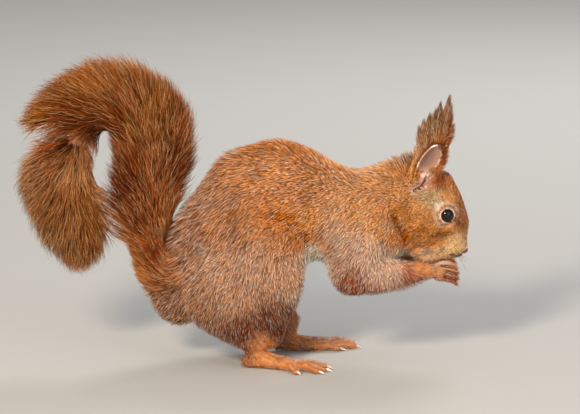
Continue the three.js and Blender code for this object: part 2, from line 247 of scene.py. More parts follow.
def ball(w, centre, radii, axes=None):
    # an ellipsoid: radii along the three rows of axes
    d = [w[i] - np.float32(centre[i]) for i in range(3)]
    if axes is not None:
        axes = np.asarray(axes, np.float32)
        d = [d[0] * a[0] + d[1] * a[1] + d[2] * a[2] for a in axes]
    k0 = np.sqrt(sum((d[i] / np.float32(radii[i])) ** 2 for i in range(3)))
    k1 = np.sqrt(sum((d[i] / np.float32(radii[i] ** 2)) ** 2 for i in range(3)))
    return k0 * (k0 - 1) / np.maximum(k1, 1e-6)


def limb(w, start, end, startRadius, endRadius):
    # a rounded cone between two points
    start, end = np.asarray(start, np.float32), np.asarray(end, np.float32)
    along = end - start
    d = [w[i] - start[i] for i in range(3)]
    t = np.clip(sum(d[i] * along[i] for i in range(3)) / float(along @ along), 0, 1)
    far = np.sqrt(sum((d[i] - t * along[i]) ** 2 for i in range(3)))
    return far - (np.float32(startRadius) + t * np.float32(endRadius - startRadius))


def joined(a, b, ease):
    # both shapes as one, with a fillet about as wide as ease
    h = np.maximum(ease - np.abs(a - b), 0) / ease
    return np.minimum(a, b) - h * h * ease * 0.25


def carved(a, b, ease):
    # a without b
    return -joined(-a, b, ease)


def around(start, end, r):
    # the corners of the box that holds both places and r all round them
    return np.minimum(start, end) - r, np.maximum(start, end) + r


class Clay:
    # a field of distances on a grid, with a shape added to or cut from it in its own window
    def __init__(self, field, low, voxel):
        self.field, self.low, self.voxel = field, low, voxel

    def window(self, low, high):
        size = self.field.shape
        a = [max(0, int((low[i] - self.low[i]) / self.voxel) - 1) for i in range(3)]
        b = [min(size[i], int((high[i] - self.low[i]) / self.voxel) + 3) for i in range(3)]
        cut = tuple(slice(a[i], b[i]) for i in range(3))
        lines = [(self.low[i] + self.voxel * np.arange(a[i], b[i])).astype(np.float32) for i in range(3)]
        return cut, (lines[0][:, None, None], lines[1][None, :, None], lines[2][None, None, :])

    def shape(self, how, make, low, high, ease):
        cut, w = self.window(np.asarray(low) - 3 * ease - 1, np.asarray(high) + 3 * ease + 1)
        self.field[cut] = how(self.field[cut], make(w), ease)

    def addBall(self, centre, radii, ease, axes=None):
        self.shape(joined, lambda w: ball(w, centre, radii, axes), *around(centre, centre, max(radii)), ease)

    def cutBall(self, centre, radii, ease, axes=None):
        self.shape(carved, lambda w: ball(w, centre, radii, axes), *around(centre, centre, max(radii)), ease)

    def addLimb(self, start, end, startRadius, endRadius, ease):
        self.shape(joined, lambda w: limb(w, start, end, startRadius, endRadius),
                   *around(start, end, max(startRadius, endRadius)), ease)

    def cutLimb(self, start, end, startRadius, endRadius, ease):
        self.shape(carved, lambda w: limb(w, start, end, startRadius, endRadius),
                   *around(start, end, max(startRadius, endRadius)), ease)

    def cutPath(self, path, radii, ease):
        # a groove from place to place, as wide at each as its radius says
        for start, end, startRadius, endRadius in zip(path, path[1:], radii, radii[1:]):
            self.cutLimb(start, end, startRadius, endRadius, ease)


def at(x, y, z):
    # a place on the drawing, in the frame, in mm
    return drawingHome + np.array([x, y, z], float)


# Where the coat's outline stands further out than the solids, or less far: (x, y, z), reach and rise in mm.
outlineShifts = [
    ((22, 0, 140), 24, 1.8), ((80, 0, 128), 15, -1.8), ((-16, 0, 120), 14, -0.8),
    ((66, 0, 132), 14, -1.4), ((-140, 0, 126), 22, 4.5), ((-90, 0, 95), 22, 2.6),
    ((-33, 0, 140), 22, 2.4), ((-38, 0, 164), 22, 2.6), ((-36, 0, 116), 12, -1.5),
    ((-78, 0, 112), 14, 1.5), ((-140, 0, 146), 14, 3.5), ((-91, 0, 143), 8, -2.0),
    ((-83, 0, 145), 8, -3.5), ((-91, 0, 74), 12, 2.2), ((-70, 0, 72), 9, -2.0),
    ((-57, 0, 36), 16, 5.0), ((-40, 0, 20), 13, 3.2), ((36, 30, 50), 14, 1.5), ((33, 32, 27), 9, -1.5),
    ((62, 28, 52), 12, 1.5), ((46, 0, 68), 10, -5.5),
]


def shiftOutline(field, low, voxel):
    # each shift is a smooth hump or hollow in the field round its place
    for place, reach, rise in bothSides(outlineShifts):
        cuts, waves = [], []
        for i, middle in enumerate(at(*place)):
            a = max(0, int((middle - 2.2 * reach - low[i]) / voxel))
            b = min(field.shape[i], int((middle + 2.2 * reach - low[i]) / voxel))
            cuts.append(slice(a, b))
            off = (low[i] + voxel * np.arange(a, b) - middle) / reach
            waves.append(np.exp(-off ** 2).astype(np.float32))
        field[tuple(cuts)] -= np.float32(rise) * waves[0][:, None, None] * waves[1][:, None] * waves[2]


print("fusing the solids")
solidPoints, solidTriangles = fuseSolids()
voxel = skinSizes["voxel"]
fieldLow = at(-150, -52, 0)
fieldLow[2] = -2
fieldHigh = at(148, 52, 200)
gridShape = tuple(len(line) for line in gridLines(fieldLow, fieldHigh, voxel))
outer = fieldFrom(solidPoints, solidTriangles, fieldLow, gridShape, voxel, 3 * voxel)
outerPoints, outerQuads = meshFrom(outer, fieldLow, voxel)
outerTriangles = np.concatenate([outerQuads[:, [0, 1, 2]], outerQuads[:, [0, 2, 3]]])
deep = fieldFrom(outerPoints, outerTriangles, fieldLow, gridShape, voxel, skinSizes["band"])
deep = blur(deep, skinSizes["rounding"] / voxel) + skinSizes["seam"]
# the head keeps its sharper shape, and the blurred one takes over across the neck
behindHead = int((at(104, 0, 0)[0] - fieldLow[0]) / voxel)
softer = blur(deep[:behindHead], skinSizes["bodyRounding"] / voxel) - skinSizes["bodyLoss"]
acrossNeck = fieldLow[0] + voxel * np.arange(behindHead)
keep = smoothStep(at(92, 0, 0)[0], at(102, 0, 0)[0], acrossNeck)[:, None, None]
deep[:behindHead] = softer + (deep[:behindHead] - softer) * keep.astype(np.float32)


def coatDepthField(low, shape, voxel):
    # the depth of the coat on a coarse grid, then drawn out to the fine one
    coarse = 6.0
    lines = [low[i] + coarse * np.arange(int(shape[i] * voxel / coarse) + 2) for i in range(3)]
    points = np.stack(np.meshgrid(*lines, indexing="ij"), -1).reshape(-1, 3)
    rows = bothSides(coatDepths)
    places = np.array([at(*place) for place, _ in rows])
    depth = spread(places, [d for _, d in rows], points, 3.0).reshape([len(line) for line in lines])
    for axis in range(3):
        fine = np.arange(shape[axis]) * voxel / coarse
        i = fine.astype(int)
        f = (fine - i).astype(np.float32).reshape([-1 if a == axis else 1 for a in range(3)])
        depth = np.take(depth, i, axis) * (1 - f) + np.take(depth, i + 1, axis) * f
    return depth.astype(np.float32)


# The head has its own directions: forward to the nose, up to the brow, and side to each eye.
headForward = unit([0.623, 0, -0.782])
headUp = unit([0.782, 0, 0.623])
headMiddle = at(124, 0, 92)


def onHead(forward, up, side):
    return headMiddle + forward * headForward + up * headUp + np.array([0, side, 0])


eyeSizes = {
    "radius": 5.3,  # of the ball
    "opening": 4.45,  # from the middle of the opening to the middle of the lid's rim
    "lid": 0.4,  # half the thickness of the lid's rim
    "margin": 0.32,  # the same of the dark margin inside it
    "inset": 0.42,  # how far inside the rim that margin runs
    "lidSteps": 49,  # places round the lid
    "turn": (0.22, 0.14),  # how far the eye looks forward and up
    "cornea": 0.045,  # how far the cornea stands proud, as a share of the radius
    "tear": (0.95, 1.0, 0.7, 0.2),  # radii of the dark tear corner, towards the nose
}

earSizes = {
    "length": 17.0,  # half the leaf's length
    "width": 8.5,  # half the leaf's width
    "depth": 5.0,  # half the depth of the form that the leaf is cut from
    "leaf": 2.2,  # thickness at the middle of the leaf
}


def headAxes(side):
    # forward, up and out of one side, turned the way the eye looks
    out = unit(np.array([0, side, 0]) + eyeSizes["turn"][0] * headForward + eyeSizes["turn"][1] * headUp)
    forward = unit(headForward - out * (headForward @ out))
    return forward, np.cross(forward, out) * side, out


def eyeOn(side):
    return middleOf("eye_right" if side < 0 else "eye_left")


def lidPath(side, radius):
    # round the opening of the eye, on the eyeball, with a corner drawn out towards the nose
    eye = eyeOn(side)
    forward, up, out = headAxes(side)
    path = []
    for turn in np.linspace(0, 2 * math.pi, eyeSizes["lidSteps"]):
        corner = max(0, math.cos(turn + 0.3)) ** 8
        a = radius * math.cos(turn) + 0.7 * corner
        b = radius * 0.97 * math.sin(turn) - 0.3 * corner
        lift = math.sqrt(max(eyeSizes["radius"] ** 2 - a * a - b * b, 2.0))
        path.append(eye + forward * a + up * b + out * (lift + 0.12))
    return path


def tearPath(side):
    # from the front of the opening towards the nose
    eye = eyeOn(side)
    forward, up, out = headAxes(side)
    return [eye + forward * a + up * b + out * c for a, b, c in
            ((3.3, -0.76, 4.0), (4.2, -0.97, 3.55), (5.1, -1.18, 2.95), (6.1, -1.4, 2.4))]


creases = {}  # where the crease under each eye begins and ends
# three rows of dots on the muzzle: forward, up and to the side on the head
whiskerDots = [(forward + shift, up, out) for up, shift in ((-1.4, 0), (-3.2, 1), (-5.0, 0))
               for forward, out in ((14.8, 9.4), (17.0, 7.9), (19.2, 6.5), (21.2, 5.2))]


def carveHead(clay):
    for side in (-1, 1):
        eye = eyeOn(side)
        forward, up, out = headAxes(side)
        # the cheek, and the pad that carries the whiskers
        clay.addBall(onHead(-6, -6, 10.5 * side), (12, 11.5, 7.5), 5, [headForward, headUp, (0, 1, 0)])
        clay.addBall(onHead(17.5, -3.5, 4.6 * side), (7.5, 5.6, 4.6), 2.5, [headForward, headUp, (0, 1, 0)])
        # the mound round the eye, the opening in it, and a rim for the lids
        clay.addBall(eye - out * 1.6, (9.0, 8.4, 5.2), 3.0, [forward, up, out])
        clay.cutLimb(eye + out * 2.2, eye + out * 14, 4.3, 9.8, 0.8)
        path = lidPath(side, eyeSizes["opening"])
        for a, b in zip(path, path[1:]):
            clay.addLimb(a, b, eyeSizes["lid"], eyeSizes["lid"], 0.7)
        clay.cutBall(eye, [eyeSizes["radius"] - 0.1] * 3, 0.15)
        # the tear corner, drawn out towards the nose
        corner = eye + forward * 4.4 - up * 1.4
        clay.cutLimb(corner + out * 2.0, corner + out * 7, 0.5, 1.5, 0.3)
        # the crease under the eye, between the cheek and the muzzle
        creases[side] = onSide(121.5, 84.5, side), onSide(133.0, 85.0, side)
        clay.cutLimb(*creases[side], 0.35, 0.3, 2.2)
        # the line of the mouth, behind the whisker pad
        clay.cutLimb(onHead(22.5, -5.2, 1.2 * side), onHead(15, -8.0, 7.4 * side), 0.7, 0.4, 0.8)
        clay.cutLimb(onHead(15, -8.0, 7.4 * side), onHead(10, -8.2, 10.0 * side), 0.4, 0.2, 0.6)
    # the bridge of the nose, the chin, and the split under the nose
    clay.addLimb(onHead(12, 5.5, 0), onHead(23.5, 1.0, 0), 5.4, 3.3, 3)
    clay.addLimb(onHead(12, -10.5, 0), onHead(18.8, -8.8, 0), 3.4, 2.4, 2)
    clay.addBall(onHead(25.0, 0.6, 0), (2.8, 2.7, 3.0), 1.5, [headForward, headUp, (0, 1, 0)])
    clay.addBall(onHead(25.6, -2.8, 0), (2.6, 2.6, 3.6), 1.5, [headForward, headUp, (0, 1, 0)])
    clay.cutLimb(onHead(28.4, -3.0, 0), onHead(24.8, -6.1, 0), 0.35, 0.45, 0.6)
    clay.cutBall(at(146.8, 0, 79.5), (4.6, 8, 6.0), 3.0)  # the dip above the nose
    clay.addBall(at(111.0, 0, 73.0), (10.5, 8.5, 5.4), 3.0)  # the throat
    clay.addBall(at(117.5, 0, 67.0), (8.0, 6.5, 3.6), 3.0)


def earFrame(side):
    # where the leaf's middle is, and its directions: along to the tip, across, and out of the hollow face
    low, high = at(112.6, 12.4 * side, 114.0), at(125.0, 15.9 * side, 141.5)
    along = unit(high - low)
    face = unit(np.array([0.40, 0.90 * side, 0.10]))
    face = unit(face - along * (face @ along))
    across = np.cross(along, face) * side
    return (low + high) / 2, along, across, face


earFolds = {}  # where the fold below each ear runs


def carveEars(clay):
    size = earSizes
    for side in (-1, 1):
        middle, along, across, face = earFrame(side)
        middle = middle + across * 0.8
        low, high = middle - 26, middle + 26
        axes = [along, across, face]

        def leaf(w):
            whole = ball(w, middle, (size["length"], size["width"], size["depth"]), axes)
            hollow = ball(w, middle + face * size["leaf"] - along,
                          (size["length"] - 0.4, size["width"] - 0.5, size["depth"]), axes)
            return carved(whole, hollow, 0.9)

        clay.shape(joined, leaf, low, high, 1.2)
        # the thicker root of the ear, and the folds at its lower opening
        root = middle - along * 14.0
        clay.addLimb(at(116.0, 10.5 * side, 112.0), root + along * 6 - face * 1.6, 6.4, 3.6, 3.0)
        clay.addLimb(at(121.0, 9.5 * side, 113.0), at(121.5, 12.5 * side, 121.0), 5.0, 2.6, 3.0)
        # the notch below the bare skin and the crease that runs back from it
        fold = pathOnSide(side, (116.3, 121.6), (115.2, 118.0), (112.6, 114.8), (108.6, 113.0))
        earFolds[side] = fold
        for a, b, radius in zip(fold, fold[1:], (1.1, 0.75, 0.6)):
            clay.cutLimb(a, b, radius, radius * 0.85, 0.7)


footSizes = {
    "step": 19.0,  # how far the left foot stands ahead
    "toe": 1.75,  # radius of a toe
    "claw": {"length": 5.2, "radius": 0.72, "drop": 1.45},  # drop is how far the tip bends down
    "clawHeight": 1.9,  # of its root above the floor
    "toes": [  # from and to on the right foot, seen from above, and how thick
        ((26, -36), (33.5, -48), 1.0), ((33, -36.5), (47, -46.5), 1.08), ((35.5, -33.5), (51.5, -40), 1.08),
        ((35, -30), (52, -32.5), 1.04), ((29, -26), (42, -24.5), 0.9)],
}
handSizes = {
    "finger": 1.28,  # radius of a finger
    "claw": {"length": 4.0, "radius": 0.62, "drop": 0.9},
    "heights": [63.6, 60.0, 56.3, 52.8],  # of the fingers
    "gaps": (0.45, 0.6, 0.75, 0.9),  # how wide the fingers part, from the root to the tip
}


def footPlace(side, x, y, z):
    # a place given for the right foot, on the foot of either side
    return at(x + (footSizes["step"] if side > 0 else 0), -y * side, z)


def carveFeet(clay):
    r = footSizes["toe"]
    for side in (-1, 1):
        def p(x, y, z):
            return footPlace(side, x, y, z)
        # the shin into the heel, then the long sole out to the ball of the foot
        clay.addLimb(p(9, -26, 22), p(6.5, -26.3, 9), 6.5, 5.0, 5)
        clay.addLimb(p(2.5, -26.2, 5.0), p(10, -27.2, 6.4), 4.0, 5.0, 3)
        clay.addLimb(p(10, -27.2, 6.0), p(26, -30.2, 3.9), 4.9, 3.6, 3)
        # f is where a toe leaves the foot and t its tip
        for (fx, fy), (tx, ty), thick in footSizes["toes"]:
            instep = p(15 + fy * 0.02, -28.5 + (fy + 31) * 0.35, 4.8)
            knuckle = p(fx + (tx - fx) * 0.45, fy + (ty - fy) * 0.45, r * 2.3)
            clay.addLimb(instep, p(fx, fy, r * 1.9), 2.6, r * 1.1 * thick, 2.0)
            clay.addLimb(p(fx, fy, r * 1.9), knuckle, r * 1.08 * thick, r * 1.02 * thick, 0.9)
            clay.addLimb(knuckle, p(tx, ty, r * 1.05), r * 0.98 * thick, r * 0.86 * thick, 0.9)
            clay.addBall(p(tx - 1.0, ty, r * 0.85), (1.5, 1.4, 1.1), 0.6)
        clay.addBall(p(30, -31.5, 2.0), (6.5, 6.0, 2.2), 1.5)
        for (a, b, _), (c, d, _) in zip(footSizes["toes"], footSizes["toes"][1:]):
            near = np.add(a, c) * 0.35 + np.add(b, d) * 0.15
            far = np.add(b, d) * 0.53 - np.add(a, c) * 0.03
            clay.cutLimb(p(*near, 4.6), p(*far, 2.4), 0.5, 1.2, 0.6)


def fingerPath(side, i):
    # from the palm over the knuckles to the tip
    z = handSizes["heights"][i]
    reach = 0 if i in (0, 3) else 0.8  # the middle two are longer
    return [at(125.5, 8.2 * side, 59.6 + (z - 58.2) * 0.85), at(130.6 + reach, 8.2 * side, z + 0.6),
            at(134.2 + reach, 7.0 * side, z - 0.6), at(135.8 + reach, 4.8 * side, z - 2.6)]


def fingerGaps(side):
    # the lines between neighbouring fingers, on the outside of the hand
    paths = [fingerPath(side, i) for i in range(4)]
    return [[(a + b) / 2 + np.array([0, 1.0 * side, 0]) for a, b in zip(one, other)]
            for one, other in zip(paths, paths[1:])]


def carveHands(clay):
    r = handSizes["finger"]
    for side in (-1, 1):
        clay.cutBall(at(140.5, 6 * side, 57.5), (8.0, 9, 8.6), 0.8)  # room for the fingers
        clay.addLimb(at(117, 10.8 * side, 59.8), at(125, 8.0 * side, 59.2), 3.4, 3.4, 3)
        clay.addBall(at(124.5, 7.4 * side, 58.8), (4.6, 2.8, 5.8), 2.0)
        for i in range(4):
            path = fingerPath(side, i)
            for k in range(3):
                clay.addLimb(path[k], path[k + 1], r * (1.15 - 0.1 * k), r * (1.05 - 0.1 * k), 0.3)
            clay.addBall(path[2], [r * 1.02] * 3, 0.3)  # the knuckle
        clay.addLimb(at(124, 6.2 * side, 54.5), at(127, 4.6 * side, 53.0), 1.6, 1.2, 1.0)  # the small thumb
        for gap in fingerGaps(side):
            clay.cutPath(gap, handSizes["gaps"], 0.3)


def sampled(field, points):
    # the field at points, from the eight places of the grid round each; past the grid the distance is added
    place = np.clip((points - fieldLow) / voxel, 0, np.array(field.shape) - 1.001)
    base = place.astype(int)
    part = place - base
    value = np.linalg.norm(points - fieldLow - place * voxel, axis=1)
    for corner in np.ndindex(2, 2, 2):
        weight = np.prod(np.where(corner, part, 1 - part), axis=1)
        value += weight * field[tuple((base + corner).T)]
    return value


def onSide(x, z, side):
    # the outermost place of the clay at x and z on one side of the animal
    place = at(x, 0, z)
    i, _, k = np.round((place - fieldLow) / voxel).astype(int)
    inside = np.nonzero(clay.field[i, :, k] < 0)[0]
    place[1] = fieldLow[1] + voxel * inside[-1 if side > 0 else 0]
    return place


def pathOnSide(side, *places):
    return [onSide(x, z, side) for x, z in places]


# the tail's own core, from its root over the arch into the hanging tip
tailCore = [(-52, 0, 62), (-59, 0, 92), (-60, 0, 130), (-66, 0, 154), (-82, 0, 164), (-98, 0, 157),
            (-107, 0, 140), (-114, 0, 120), (-113, 0, 96), (-107, 0, 74)]
thighFold = {}  # the crease that runs over each thigh and down in front of it
shoulderEdge = {}  # the groove between the neck and each shoulder


def carveTail(clay):
    for a, b in zip(tailCore, tailCore[1:]):
        clay.addLimb(at(*a), at(*b), skinSizes["tailCore"], skinSizes["tailCore"], 4)


def carveFolds(clay):
    for side in (-1, 1):
        thighFold[side] = pathOnSide(side, (8.0, 101.0), (20.4, 99.2), (29.0, 96.0), (36.0, 90.7),
                                     (40.2, 83.8), (41.6, 76.0))
        clay.cutPath(thighFold[side], (0.3, 0.9, 1.4, 1.6, 1.4, 1.0), 3.0)
        edge = pathOnSide(side, (94.5, 98.5), (100.0, 88.5), (104.0, 78.5))
        shoulderEdge[side] = edge
        for a, b in zip(edge, edge[1:]):
            clay.cutLimb(a, b, 1.1, 1.3, 2.5)


print("carving the skin")
shiftOutline(deep, fieldLow, voxel)
clay = Clay(deep, fieldLow, voxel)
clay.addBall(at(106.5, 0, 123.0), (11.0, 13, 14.0), 6)  # the long hair between the ears
outline = deep.copy()  # distance to the tips of the coat
deep += coatDepthField(fieldLow, gridShape, voxel)
carveTail(clay)
carveHead(clay)
carveFolds(clay)
carveEars(clay)
carveFeet(clay)
carveHands(clay)
# nothing comes below the floor
underFloor = deep[:, :, :int(round(-fieldLow[2] / voxel)) + 1]
np.maximum(underFloor, skinSizes["floor"], out=underFloor)
skinPoints, skinQuads = meshFrom(clay.field, fieldLow, voxel)
print("skin", len(skinPoints), "points")


# Colours of the coat's hairs halfway along.
coatColours = {
    "warm": "#d58f56", "rump": "#bd8159", "rose": "#daa179", "rust": "#85431e", "sand": "#e5ae8a",
    "cream": "#f2dcc8", "tan": "#e29c58", "ochre": "#d48a42", "olive": "#c9aa80", "muzzle": "#f3c690",
    "brow": "#a75f2a", "chestnut": "#7c360e", "bark": "#5a220a", "copper": "#985822", "straw": "#b0744a",
    "fawn": "#ac7a54", "foot": "#e08c48", "flame": "#cf7429", "arm": "#a95829", "throat": "#e6bb98",
    "band": "#ad5a20", "ridge": "#c0773c", "nape": "#966a42", "umber": "#360f07",
}

